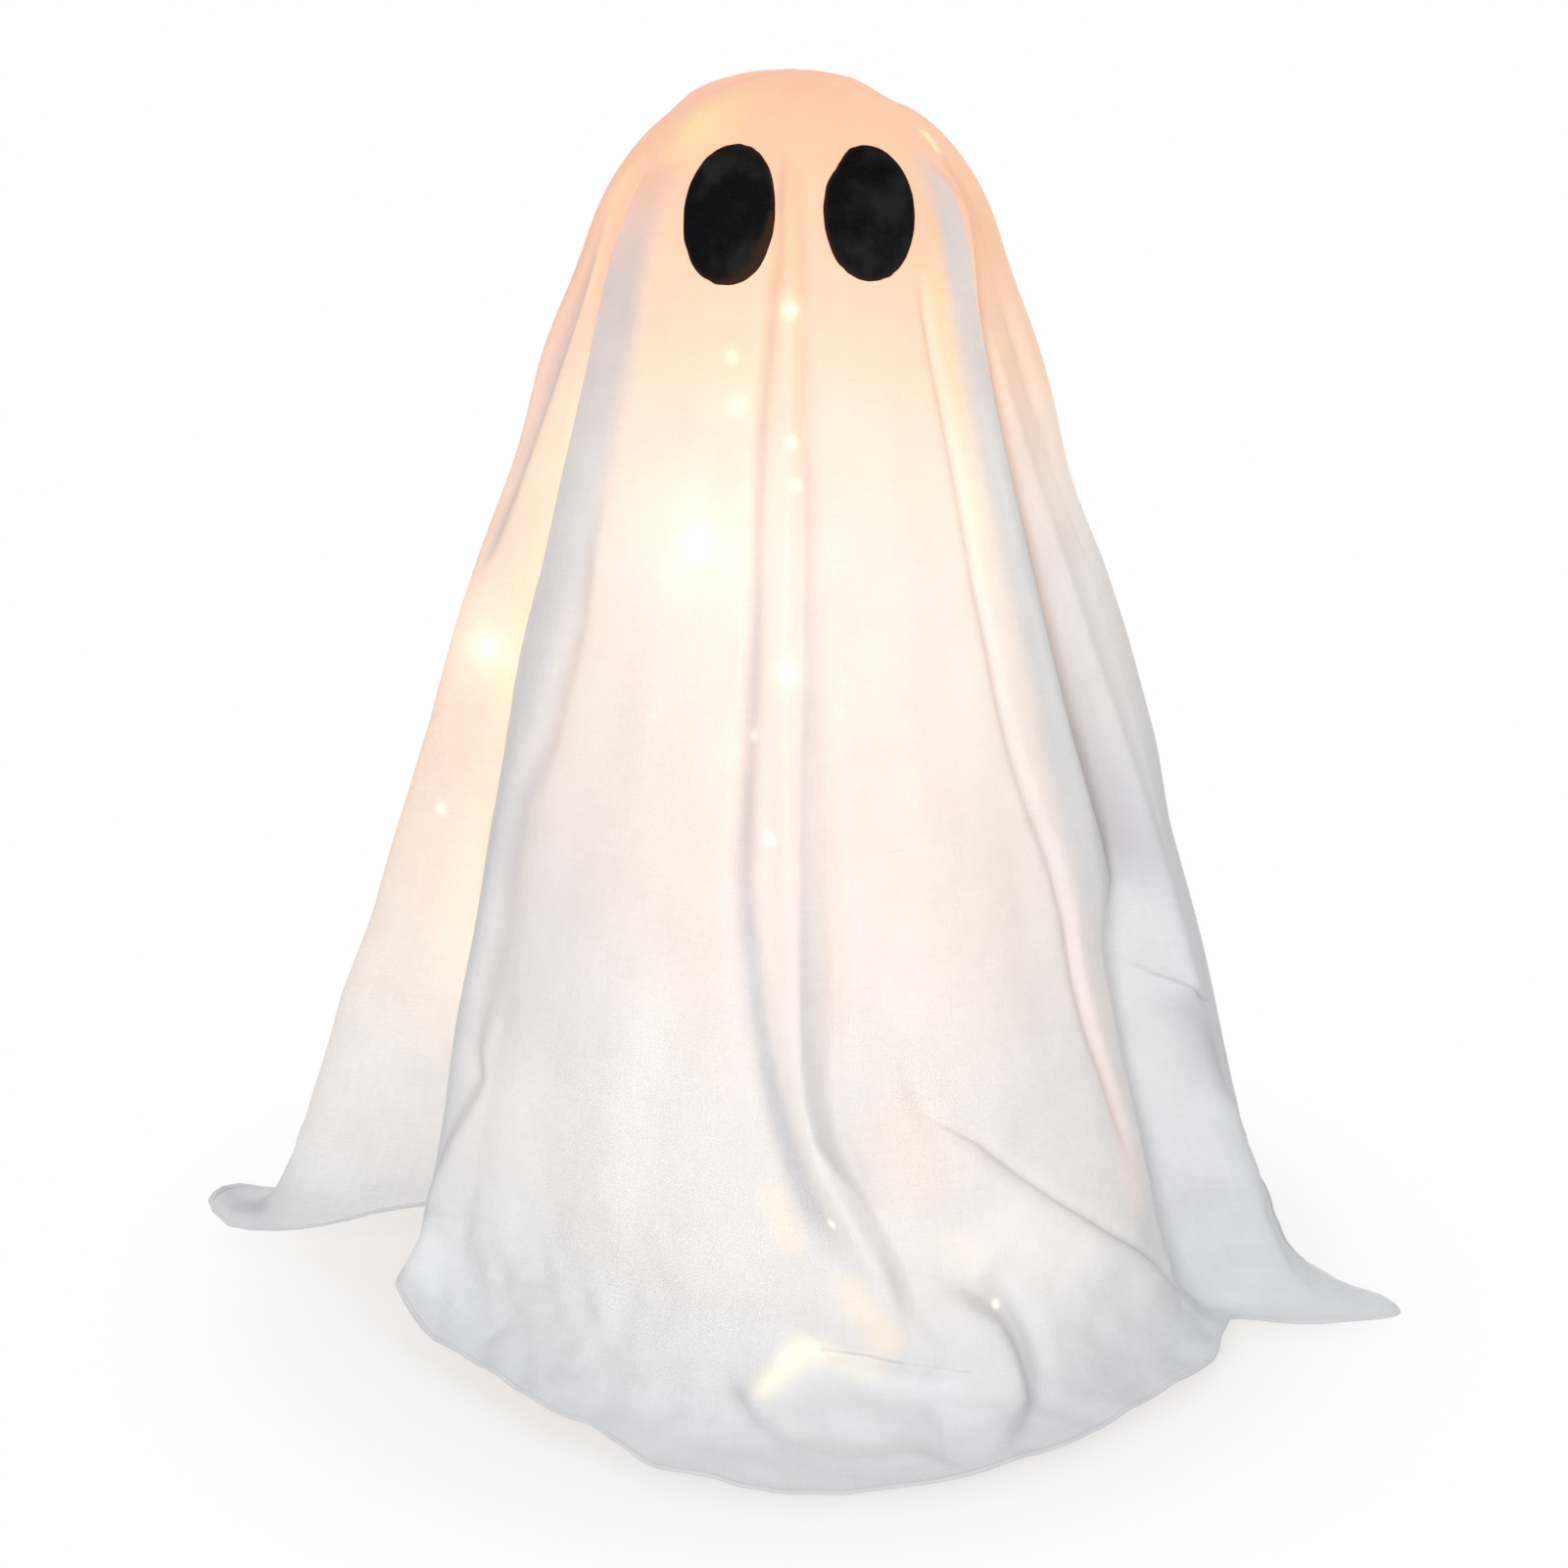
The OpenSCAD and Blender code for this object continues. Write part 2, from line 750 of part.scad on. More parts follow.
module mode_switch() {
    color("dimgray")
        on_cap_axis()
            rotate([0, 0, 90])
                translate([button_orbit, 0, 0]) {
                    translate([-4, -2, board_top])
                        cube([5.5, 4, switch_top - board_top]);
                    disc(1.1, switch_top, plunger_top - switch_top);
                }
}

// Cradle across the cup that holds the battery between its plate and its spring
module battery_tray() {
    color("black")
        on_cap_axis()
            difference() {
                translate([-tray_len / 2, -tray_w / 2, cup_end])
                    cube([tray_len, tray_w, tray_base + cell_r]);
                translate([-tray_in / 2, 0, cell_c])
                    rotate([0, 90, 0])
                        cylinder(r = cell_r + 0.2, h = tray_in);
            }
}
module battery_cell() {
    color("forestgreen")
        on_cap_axis()
            translate([cell_x - cell_len / 2, 0, cell_c])
                rotate([0, 90, 0]) {
                    cylinder(r = cell_r, h = cell_len - 1.2);
                    cylinder(r = 2.7, h = cell_len);
                }
}
module battery_plate() {
    color("silver")
        on_cap_axis()
            translate([tray_in / 2 - plate_t, -4, cell_c - 4])
                cube([plate_t, 8, 8]);
}
module battery_spring() {
    path = [
        for (i = [0:24])
            [-tray_in / 2 + 0.5 + (spring_len - 1.2) * i / 24,
                (4.6 - 1.8 * i / 24) * cos(45 * i), (4.6 - 1.8 * i / 24) * sin(45 * i)]
    ];
    color("silver")
        on_cap_axis()
            translate([0, 0, cell_c])
                swept_tube(path, 0.35, 6);
}
module cap_floor() {
    color("darkslategray")
        on_cap_axis()
            difference() {
                disc(cup_r, floor_c, floor_t);
                disc(lead_r + fit_gap, floor_c - 1, floor_t + 2);
                spread(3, floor_screw_orbit, floor_screw_first)
                    disc(1.2 + slip_gap, floor_c - 1, floor_t + 2);
            }
}
module floor_screws() {
    color("silver")
        on_cap_axis()
            spread(3, floor_screw_orbit, floor_screw_first)
                translate([0, 0, floor_c])
                    rotate([180, 0, 0])
                        screw(0, floor_t + 7, 1.2, 2.3, 1.4);
}

// Board on the cap's floor with three lamps that light the globe from inside
module lamp_board() {
    color("white")
        on_cap_axis()
            ring(lead_r + fit_gap, lamp_r, floor_c - lamp_t, lamp_t);
}
module lamp_leds() {
    color("lightyellow")
        on_cap_axis()
            spread(3, lamp_r - 5, 0) {
                disc(2.5, floor_c - lamp_t - 3, 3);
                translate([0, 0, floor_c - lamp_t - 3])
                    sphere(r = 2.5, $fn = 32);
            }
}

module power_button() {
    color("firebrick")
        on_cap_axis()
            rotate([0, 0, 90])
                translate([button_orbit, 0, 0]) {
                    disc(button_r, shoulder_top - 0.5, cap_face + 1.6 - shoulder_top + 0.5);
                    disc(shoulder_r, shoulder_c, shoulder_t);
                    disc(stem_r, stem_c, shoulder_c - stem_c + 0.5);
                }
}

ghost_cover();
window_binding();
eye_left();
eye_right();
globe_shell();
crown_hub();
neck_nut();
string_gland();
head_lead();
led_wire();
led_beads();
string_clips();
rib_rear_right();
rib_rear_left();
rib_front_left();
rib_front_right();
rib_screws();
hoop_upper();
hoop_middle();
hoop_lower();
hoop_clips();
foot_rear_right();
foot_rear_left();
foot_front_left();
foot_front_right();
cap_housing();
cap_gasket();
bezel_ring();
bezel_screws();
solar_lens();
solar_cell();
control_board();
board_screws();
mode_switch();
battery_tray();
battery_cell();
battery_plate();
battery_spring();
cap_floor();
floor_screws();
lamp_board();
lamp_leds();
power_button();
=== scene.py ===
"""Solar ghost garden light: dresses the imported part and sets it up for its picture.

Lengths are in metres and angles in degrees round the upright axis, 270 at the front. A place on the cloth
is given by its fold angle and its drop: the length along the cloth from where it bends on to the ground,
negative above.
"""

import logging
import math
from dataclasses import dataclass
from enum import Enum
from functools import partial
from typing import Optional, Sequence, Union

import bpy
import numpy as np
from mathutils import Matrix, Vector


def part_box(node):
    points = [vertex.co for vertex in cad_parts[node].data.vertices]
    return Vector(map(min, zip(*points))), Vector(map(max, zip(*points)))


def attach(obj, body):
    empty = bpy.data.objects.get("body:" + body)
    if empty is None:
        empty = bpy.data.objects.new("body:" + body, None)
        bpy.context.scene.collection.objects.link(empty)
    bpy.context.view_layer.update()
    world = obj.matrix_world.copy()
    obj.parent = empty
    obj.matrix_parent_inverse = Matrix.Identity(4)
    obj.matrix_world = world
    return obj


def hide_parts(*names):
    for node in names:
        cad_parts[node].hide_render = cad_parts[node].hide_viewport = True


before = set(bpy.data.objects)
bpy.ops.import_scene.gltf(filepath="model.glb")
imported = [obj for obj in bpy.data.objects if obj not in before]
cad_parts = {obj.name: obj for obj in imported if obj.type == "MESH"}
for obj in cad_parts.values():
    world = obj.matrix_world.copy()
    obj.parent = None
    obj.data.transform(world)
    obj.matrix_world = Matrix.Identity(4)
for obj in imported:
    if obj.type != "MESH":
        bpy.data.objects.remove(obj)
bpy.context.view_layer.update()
LOG = logging.getLogger("ghost_light")
Colour = tuple[float, float, float]
Point = tuple[float, float, float]
Socket = bpy.types.NodeSocket
Value = Union[float, Sequence[float], Socket]
Line = tuple[tuple[float, float], ...]
Numbers = Union[float, np.ndarray]
# creases, strokes and lines are given in millimetres
MM = 0.001
# a full turn, for random phases
TURN = 6.28


# Meshes

def add_object(name: str, data: bpy.types.ID) -> bpy.types.Object:
    """Puts a mesh, a light or a camera into the scene.

    Args:
        name: the object's name.
        data: what it shows.

    Returns:
        The new object.
    """
    made = bpy.data.objects.new(name, data)
    bpy.context.scene.collection.objects.link(made)
    return made


def mesh_piece(name: str, points: np.ndarray, faces: Sequence[Sequence[int]], body: str,
               replaces: Sequence[str] = ()) -> bpy.types.Object:
    """Makes a smooth piece from points and faces and lets it ride on a body.

    Args:
        name: the piece's name.
        points: one row of three coordinates per point.
        faces: point numbers of each face, turned outwards.
        body: the body that carries it.
        replaces: the nodes that it stands for.

    Returns:
        The new object, with its place in its mesh.
    """
    mesh = bpy.data.meshes.new(name)
    mesh.from_pydata(points.reshape(-1, 3).tolist(), [], [tuple(f) for f in faces])
    mesh.polygons.foreach_set("use_smooth", np.ones(len(mesh.polygons), dtype=bool))
    mesh.update()
    piece = add_object(name, mesh)
    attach(piece, body)
    if replaces:
        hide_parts(*replaces)
    LOG.info("%s: %d points, %d faces", name, len(mesh.vertices), len(mesh.polygons))
    return piece


def grid_faces(rows: int, columns: int, closed: bool, first: int = 0) -> np.ndarray:
    """Quads of a grid of points, row after row.

    Args:
        rows: how many rows of points.
        columns: how many points in a row.
        closed: whether the last column joins the first.
        first: the number of the grid's first point.

    Returns:
        An array of four point numbers per quad.
    """
    across = np.arange(columns if closed else columns - 1)
    after = (across + 1) % columns
    start = first + np.arange(rows - 1)[:, None] * columns
    quads = np.stack([start + across, start + columns + across, start + columns + after, start + after], -1)
    return quads.reshape(-1, 4)


def fan_faces(columns: int, ring: int, tip: int) -> np.ndarray:
    """Triangles from one tip point to a closed ring of points.

    Args:
        columns: points in the ring.
        ring: the number of the ring's first point.
        tip: the number of the tip.

    Returns:
        An array of three point numbers per triangle.
    """
    here = np.arange(columns)
    return np.stack([np.full(columns, tip), ring + here, ring + (here + 1) % columns], -1)


def tube_points(path: np.ndarray, out: np.ndarray, up: np.ndarray, half: tuple[float, float],
                sides: int) -> np.ndarray:
    """A flat oval carried along a path.

    Point = path + half width x cos(turn) x out + half height x sin(turn) x up, for a full turn at each
    point of the path.

    Args:
        path: the points of the path.
        out: the oval's wide direction at each point.
        up: the oval's thin direction at each point.
        half: half the oval's width and half its height.
        sides: points round the oval.

    Returns:
        The points, one row of the oval per path point.
    """
    turn = np.linspace(0, 2 * np.pi, sides, endpoint=False)[None, :, None]
    return path[:, None] + half[0] * np.cos(turn) * out[:, None] + half[1] * np.sin(turn) * up[:, None]


def unit(v: np.ndarray) -> np.ndarray:
    """Vectors of length one, along the last axis."""
    return v / np.maximum(np.linalg.norm(v, axis=-1, keepdims=True), 1e-12)


def smooth_step(x: np.ndarray, low: float, high: float) -> np.ndarray:
    """Rises from 0 at low to 1 at high as 3t^2 - 2t^3."""
    t = np.clip((x - low) / (high - low), 0, 1)
    return t * t * (3 - 2 * t)


def hill(x: np.ndarray, rise: tuple[float, float], fall: tuple[float, float]) -> np.ndarray:
    """Rises from 0 to 1 over one stretch and falls back to 0 over another."""
    return smooth_step(x, *rise) * (1 - smooth_step(x, *fall))


def turn_from(start: Numbers, angle: Numbers) -> np.ndarray:
    """The turn from one angle to another, between -180 and 180 degrees."""
    return (angle - start + 180) % 360 - 180


def per_degree(points: np.ndarray) -> np.ndarray:
    """Metres per degree round the upright axis at points."""
    return np.hypot(points[..., 0], points[..., 1]) * np.pi / 180


def with_tip(values: np.ndarray) -> np.ndarray:
    """The values of a grid's points, with the first one's again in front for the tip above the grid."""
    return np.concatenate([values[:1], values])


def set_value(mesh: bpy.types.Mesh, name: str, values: np.ndarray) -> None:
    """Keeps one number, or one colour of three numbers, per point of a mesh.

    Args:
        mesh: the mesh.
        name: the attribute's name.
        values: an array with one number or one colour per point.
    """
    if values.ndim == 1:
        mesh.attributes.new(name, "FLOAT", "POINT").data.foreach_set("value", values.astype(np.float32))
    else:
        full = np.concatenate([values, np.ones((len(values), 1))], 1).astype(np.float32)
        mesh.attributes.new(name, "FLOAT_COLOR", "POINT").data.foreach_set("color", full.ravel())


def set_uv(mesh: bpy.types.Mesh, uv: np.ndarray) -> None:
    """Gives a mesh a UV map from one pair of numbers per point.

    Args:
        mesh: the mesh.
        uv: one pair per point.
    """
    corner = np.empty(len(mesh.loops), dtype=np.int32)
    mesh.loops.foreach_get("vertex_index", corner)
    mesh.uv_layers.new(name="cloth").data.foreach_set("uv", uv[corner].astype(np.float32).ravel())


def closed_tube(name: str, ring: np.ndarray, far: np.ndarray, girth: float,
                replaces: Sequence[str] = ()) -> bpy.types.Object:
    """Makes a piece of the cover from a closed row of ovals, with a UV map of the way along it and round it.

    Args:
        name: the piece's name.
        ring: the points of the ovals, one row per oval.
        far: the way along the tube at each oval, and at the first one again.
        girth: the way round an oval.
        replaces: the nodes that it stands for.

    Returns:
        The piece.
    """
    loop = np.concatenate([ring, ring[:1]])
    sides = ring.shape[1]
    piece = mesh_piece(name, loop, grid_faces(len(loop), sides, True), "cover", replaces)
    around = np.linspace(0, girth, sides)
    set_uv(piece.data, np.stack(np.broadcast_arrays(far[:, None], around), -1).reshape(-1, 2))
    return piece


# Shader trees

class Tree:
    """A shader tree that is being filled in."""

    def __init__(self, tree: bpy.types.NodeTree) -> None:
        """Takes the tree to fill in."""
        self.tree = tree

    def fill(self, socket: Socket, value: Value) -> None:
        """Links a socket to an input, or sets the input's own value.

        Args:
            socket: the input.
            value: the socket to link, or the value.
        """
        if isinstance(value, bpy.types.NodeSocket):
            self.tree.links.new(value, socket)
        else:
            socket.default_value = value

    def node(self, kind: str, inputs: Optional[dict] = None, **settings) -> bpy.types.Node:
        """Adds a node.

        Args:
            kind: the node's type, without its ShaderNode prefix.
            inputs: values, or sockets to link, by input name or number.
            settings: properties of the node.

        Returns:
            The node.
        """
        made = self.tree.nodes.new("ShaderNode" + kind)
        for key, value in settings.items():
            setattr(made, key, value)
        for key, value in (inputs or {}).items():
            self.fill(made.inputs[key], value)
        return made

    def math(self, work: str, a: Value, b: Value = 0.0, clamp: bool = False) -> Socket:
        """The result of a sum on two values."""
        return self.node("Math", {0: a, 1: b}, operation=work, use_clamp=clamp).outputs[0]

    def vector(self, work: str, a: Value, b: Value = (0.0, 0.0, 0.0)) -> Socket:
        """The result of a sum on two vectors: a number from a length or a product, or else a vector."""
        made = self.node("VectorMath", {0: a, 1: b}, operation=work)
        return made.outputs["Value" if work in ("DISTANCE", "DOT_PRODUCT", "LENGTH") else "Vector"]

    def bell(self, far: Value, width: Value) -> Socket:
        """e to the power of minus the squared distance over the squared width."""
        share = self.math("DIVIDE", far, width)
        return self.math("EXPONENT", self.math("MULTIPLY", self.math("MULTIPLY", share, share), -1.0))

    def blend(self, share: Value, a: Value, b: Value, how: str = "MIX") -> Socket:
        """A colour between two colours.

        Args:
            share: how much of the second colour.
            a: the first colour.
            b: the second colour.
            how: the way of mixing.

        Returns:
            The mixed colour.
        """
        made = self.node("Mix", {0: share}, data_type="RGBA", blend_type=how)
        for key, value in ((6, a), (7, b)):
            self.fill(made.inputs[key], value if isinstance(value, bpy.types.NodeSocket) else (*value, 1.0))
        return made.outputs[2]

    def ramp(self, value: Socket, low: float, high: float, to_low: float, to_high: float) -> Socket:
        """A value carried smoothly from one range to another."""
        return self.node("MapRange", {0: value, 1: low, 2: high, 3: to_low, 4: to_high},
                         interpolation_type="SMOOTHSTEP").outputs[0]

    def place(self) -> Socket:
        """The piece's Object coordinates."""
        return self.node("TexCoord").outputs["Object"]

    def turned_place(self, turn: float, shift: Point) -> Socket:
        """The piece's Object coordinates, turned about X and moved."""
        return self.node("Mapping", {"Vector": self.place(), "Location": shift,
                                     "Rotation": (turn, 0.0, 0.0)}).outputs[0]

    def noise(self, vector: Socket, scale: Value, detail: float = 3.0, rough: float = 0.55) -> Socket:
        """Cloudy values between 0 and 1."""
        return self.node("TexNoise", {"Vector": vector, "Scale": scale, "Detail": detail,
                                      "Roughness": rough}).outputs[0]

    def bump(self, height: Socket, strength: float, distance: float) -> Socket:
        """A normal from a height."""
        return self.node("Bump", {"Height": height, "Strength": strength, "Distance": distance}).outputs[0]

    def attribute(self, name: str, output: str = "Fac") -> Socket:
        """A value or colour that the piece keeps at its points."""
        return self.node("Attribute", attribute_name=name, attribute_type="GEOMETRY").outputs[output]


def new_group(name: str, inputs: dict[str, str],
              outputs: dict[str, str]) -> tuple[Tree, bpy.types.Node, bpy.types.Node]:
    """Starts a shader node group.

    Args:
        name: the group's name.
        inputs: socket kinds (Float, Vector, Color) by name.
        outputs: socket kinds by name.

    Returns:
        The tree to fill in, its input node and its output node.
    """
    tree = bpy.data.node_groups.new(name, "ShaderNodeTree")
    for side, sockets in (("INPUT", inputs), ("OUTPUT", outputs)):
        for label, kind in sockets.items():
            tree.interface.new_socket(label, in_out=side, socket_type="NodeSocket" + kind)
    return Tree(tree), tree.nodes.new("NodeGroupInput"), tree.nodes.new("NodeGroupOutput")


class Effects:
    """Effects that several finishes share, each a node group that is built once."""

    def __init__(self) -> None:
        """Builds the groups."""
        self.grain = self._grain()
        self.weave = self._weave()
        self.wear = self._wear()
        self.halo = self._halo()
        self.line = self._crease_shade_mask()

    @staticmethod
    def _grain() -> bpy.types.NodeTree:
        """Cloudy tone from a coarse noise, and a height from a noise four times as fine.

        Returns:
            The node group.
        """
        t, i, o = new_group("moulded_grain", {"Vector": "Vector", "Scale": "Float"},
                            {"Tone": "Float", "Height": "Float"})
        fine = t.math("MULTIPLY", i.outputs["Scale"], 4.0)
        t.fill(o.inputs["Tone"], t.noise(i.outputs["Vector"], i.outputs["Scale"], 4.0, 0.5))
        t.fill(o.inputs["Height"], t.noise(i.outputs["Vector"], fine, 2.0, 0.5))
        return t.tree

    @staticmethod
    def _weave() -> bpy.types.NodeTree:
        """Plain weave: sine of u times sine of v at the thread pitch, with threads that vary in thickness.

        Returns:
            The node group.
        """
        t, i, o = new_group("plain_weave", {"Vector": "Vector", "Pitch": "Float"},
                            {"Height": "Float", "Slub": "Float"})
        split = t.node("SeparateXYZ", {0: i.outputs["Vector"]})
        turn = t.math("DIVIDE", 2 * math.pi, i.outputs["Pitch"])
        over = [t.math("SINE", t.math("MULTIPLY", split.outputs[axis], turn)) for axis in (0, 1)]
        slubs = []
        for stretch in ((900.0, 40.0, 1.0), (40.0, 900.0, 1.0)):
            slubs.append(t.noise(t.vector("MULTIPLY", i.outputs["Vector"], stretch), 1.0, 2.0))
        slub = t.math("MULTIPLY", t.math("ADD", *slubs), 0.5)
        crossing = t.math("MULTIPLY", t.math("MULTIPLY", *over), 0.5)
        height = t.math("ADD", crossing, t.math("MULTIPLY", slub, 1.6))
        t.fill(o.inputs["Height"], height)
        t.fill(o.inputs["Slub"], slub)
        return t.tree

    @staticmethod
    def _wear() -> bpy.types.NodeTree:
        """Dust and rub marks: a rough noise that is cut off at a level.

        Returns:
            The node group.
        """
        t, i, o = new_group("garden_wear", {"Vector": "Vector", "Scale": "Float", "Amount": "Float"},
                            {"Mask": "Float"})
        cut = t.ramp(t.noise(i.outputs["Vector"], i.outputs["Scale"], 6.0, 0.7), 0.5, 0.68, 0.0, 1.0)
        t.fill(o.inputs["Mask"], t.math("MULTIPLY", cut, i.outputs["Amount"]))
        return t.tree

    @staticmethod
    def _halo() -> bpy.types.NodeTree:
        """Light of a bead behind cloth: e to the power of minus the squared distance over the squared size.

        Returns:
            The node group.
        """
        t, i, o = new_group("bead_halo", {"Vector": "Vector", "Centre": "Vector", "Size": "Float"},
                            {"Glow": "Float"})
        far = t.vector("DISTANCE", i.outputs["Vector"], i.outputs["Centre"])
        t.fill(o.inputs["Glow"], t.bell(far, i.outputs["Size"]))
        return t.tree

    @staticmethod
    def _crease_shade_mask() -> bpy.types.NodeTree:
        """Painted shade along a crease: e to the power of minus the squared distance from a straight piece
        over the squared width. The piece's nearest point is its start plus its run times a share from 0 to
        1.

        Returns:
            The node group.
        """
        t, i, o = new_group("painted_crease_shade",
                            {"Vector": "Vector", "Start": "Vector", "Run": "Vector", "Width": "Float"},
                            {"Mask": "Float"})
        run = i.outputs["Run"]
        from_start = t.vector("SUBTRACT", i.outputs["Vector"], i.outputs["Start"])
        way = t.math("DIVIDE", t.vector("DOT_PRODUCT", from_start, run),
                     t.vector("DOT_PRODUCT", run, run), True)
        reach = t.node("VectorMath", {0: run, "Scale": way}, operation="SCALE").outputs[0]
        t.fill(o.inputs["Mask"], t.bell(t.vector("DISTANCE", from_start, reach), i.outputs["Width"]))
        return t.tree


def use(tree: Tree, group: bpy.types.NodeTree, inputs: dict) -> bpy.types.Node:
    """Places a node group in a material.

    Args:
        tree: the material's tree.
        group: the node group.
        inputs: values or sockets by input name.

    Returns:
        The group's node.
    """
    made = tree.tree.nodes.new("ShaderNodeGroup")
    made.node_tree = group
    for key, value in inputs.items():
        tree.fill(made.inputs[key], value)
    return made


def new_material(name: str) -> tuple[bpy.types.Material, Tree, bpy.types.Node]:
    """Starts a material.

    Args:
        name: the material's name.

    Returns:
        The material, its tree and its Principled shader.
    """
    made = bpy.data.materials.new(name)
    made.use_nodes = True
    return made, Tree(made.node_tree), made.node_tree.nodes["Principled BSDF"]


def dress(piece: bpy.types.Object, material: bpy.types.Material) -> None:
    """Gives a piece one material all over."""
    piece.data.materials.clear()
    piece.data.materials.append(material)


# Finishes

@dataclass(frozen=True)
class SolidFinish:
    """A moulded, coated or metal finish with grain, colour variation and dusty wear, and a painted glow if
    given.
    """

    name: str
    colour: Colour
    second: Colour
    roughness: float = 0.5
    metallic: float = 0.0
    grain: float = 60.0
    bump: float = 0.12
    wear: float = 0.25
    dust: Colour = (0.42, 0.38, 0.32)
    coat: float = 0.0
    # an optional glow painted as emission: a lamp's own light, or light from inside a part that is no lamp
    light: Optional[Colour] = None

    def material(self, effects: Effects) -> bpy.types.Material:
        """Makes the material.

        Args:
            effects: the shared node groups.

        Returns:
            The material.
        """
        made, t, shader = new_material(self.name)
        place = t.place()
        grain = use(t, effects.grain, {"Vector": place, "Scale": self.grain})
        wear = use(t, effects.wear, {"Vector": place, "Scale": self.grain * 0.6, "Amount": self.wear})
        tone = t.blend(grain.outputs["Tone"], self.colour, self.second)
        t.fill(shader.inputs["Base Color"], t.blend(wear.outputs["Mask"], tone, self.dust))
        rough = t.ramp(grain.outputs["Tone"], 0.3, 0.7, self.roughness - 0.08, self.roughness + 0.08)
        rough = t.math("ADD", rough, t.math("MULTIPLY", wear.outputs["Mask"], 0.3), True)
        t.fill(shader.inputs["Roughness"], rough)
        t.fill(shader.inputs["Normal"], t.bump(grain.outputs["Height"], self.bump, 0.001))
        shader.inputs["Metallic"].default_value = self.metallic
        shader.inputs["Coat Weight"].default_value = self.coat
        if self.light:
            t.fill(shader.inputs["Emission Color"],
                   t.blend(grain.outputs["Tone"], self.light, tuple(c * 0.85 for c in self.light)))
            shader.inputs["Emission Strength"].default_value = 1.0
        return made


@dataclass(frozen=True)
class ClothFinish:
    """Thin white plain-woven cloth that is lit from inside, with that light and the shade of its folds
    painted into its colours.
    """

    pale: Colour = (0.80, 0.81, 0.83)
    # peach base colour: painted warm light from inside, not the cloth's own colour
    warm_lit: Colour = (0.78, 0.66, 0.55)
    shade: Colour = (0.47, 0.46, 0.51)
    halo: Colour = (1.0, 0.86, 0.55)
    roughness: float = 0.9
    pitch: float = 0.0013

    def material(self, effects: Effects, beads: Sequence[tuple[np.ndarray, float, float]],
                 lines: Sequence[tuple[np.ndarray, np.ndarray, float, float]]) -> bpy.types.Material:
        """Makes the material.

        Args:
            effects: the shared node groups.
            beads: the place, size and strength of each bead's light in the cloth.
            lines: the start, run, width and strength of each straight piece of a line of painted crease
                shade, in UV.

        Returns:
            The material.
        """
        made, t, shader = new_material("cloth")
        place = t.place()
        uv = t.node("UVMap", uv_map="cloth").outputs[0]
        weave = use(t, effects.weave, {"Vector": uv, "Pitch": self.pitch})
        grain = use(t, effects.grain, {"Vector": place, "Scale": 34.0})
        shade: Socket = t.attribute("shade")
        # painted shade along the crease lines, kept where it is darker than the stroke shade
        for start, run, width, strength in lines:
            mask = use(t, effects.line, {"Vector": uv, "Start": tuple(start), "Run": tuple(run),
                                         "Width": width})
            shade = t.math("MAXIMUM", shade, t.math("MULTIPLY", mask.outputs[0], strength))
        # painted light and shade in the base colour: warm light on the head, shade in folds and along crease
        # lines
        base = t.blend(shade, t.blend(t.attribute("painted_warm_light"), self.pale, self.warm_lit), self.shade)
        mottle = t.ramp(weave.outputs["Slub"], 0.35, 0.65, 0.975, 1.01)
        mottle = t.math("MULTIPLY", mottle, t.ramp(grain.outputs["Tone"], 0.3, 0.7, 0.975, 1.015))
        grey = t.node("CombineColor", {0: mottle, 1: mottle, 2: mottle}).outputs[0]
        t.fill(shader.inputs["Base Color"], t.blend(1.0, base, grey, "MULTIPLY"))
        light: Optional[Socket] = None
        for centre, size, strength in beads:
            spot = use(t, effects.halo, {"Vector": place, "Centre": tuple(centre), "Size": size}).outputs[0]
            spot = t.math("MULTIPLY", spot, strength)
            light = spot if light is None else t.math("ADD", light, spot)
        glow = t.blend(1.0, t.attribute("glow", "Color"), grey, "MULTIPLY")
        if light is not None:
            level = t.node("CombineColor", {0: light, 1: light, 2: light}).outputs[0]
            glow = t.blend(1.0, glow, t.blend(1.0, level, self.halo, "MULTIPLY"), "ADD")
        t.fill(shader.inputs["Emission Color"], glow)
        shader.inputs["Emission Strength"].default_value = 1.0
        t.fill(shader.inputs["Roughness"], t.ramp(weave.outputs["Slub"], 0.3, 0.7, self.roughness - 0.05,
                                                  self.roughness + 0.05))
        shader.inputs["Sheen Weight"].default_value = 0.08
        shader.inputs["Specular IOR Level"].default_value = 0.15
        crinkle = t.math("ADD", t.math("MULTIPLY", weave.outputs["Height"], 0.16),
                         t.math("MULTIPLY", grain.outputs["Height"], 0.9))
        t.fill(shader.inputs["Normal"], t.bump(crinkle, 0.45, 0.0012))
        return made


@dataclass(frozen=True)
class FeltFinish:
    """Black pressed felt with short fibres and a brown cut edge."""

    colour: Colour = (0.007, 0.007, 0.008)
    fibre: Colour = (0.022, 0.021, 0.022)
    edge: Colour = (0.050, 0.025, 0.014)

    def material(self, effects: Effects) -> bpy.types.Material:
        """Makes the material.

        Args:
            effects: the shared node groups.

        Returns:
            The material.
        """
        made, t, shader = new_material("felt")
        place = t.place()
        grain = use(t, effects.grain, {"Vector": place, "Scale": 55.0})
        fibres = t.noise(place, 900.0, 3.0, 0.7)
        tone = t.blend(t.ramp(grain.outputs["Tone"], 0.42, 0.7, 0.0, 1.0), self.colour, self.fibre)
        tone = t.blend(t.ramp(fibres, 0.5, 0.75, 0.0, 0.5), tone, self.fibre)
        t.fill(shader.inputs["Base Color"], t.blend(t.attribute("rim"), tone, self.edge))
        t.fill(shader.inputs["Roughness"], t.ramp(fibres, 0.3, 0.7, 0.85, 1.0))
        shader.inputs["Specular IOR Level"].default_value = 0.0
        t.fill(shader.inputs["Normal"], t.bump(fibres, 0.5, 0.0008))
        return made


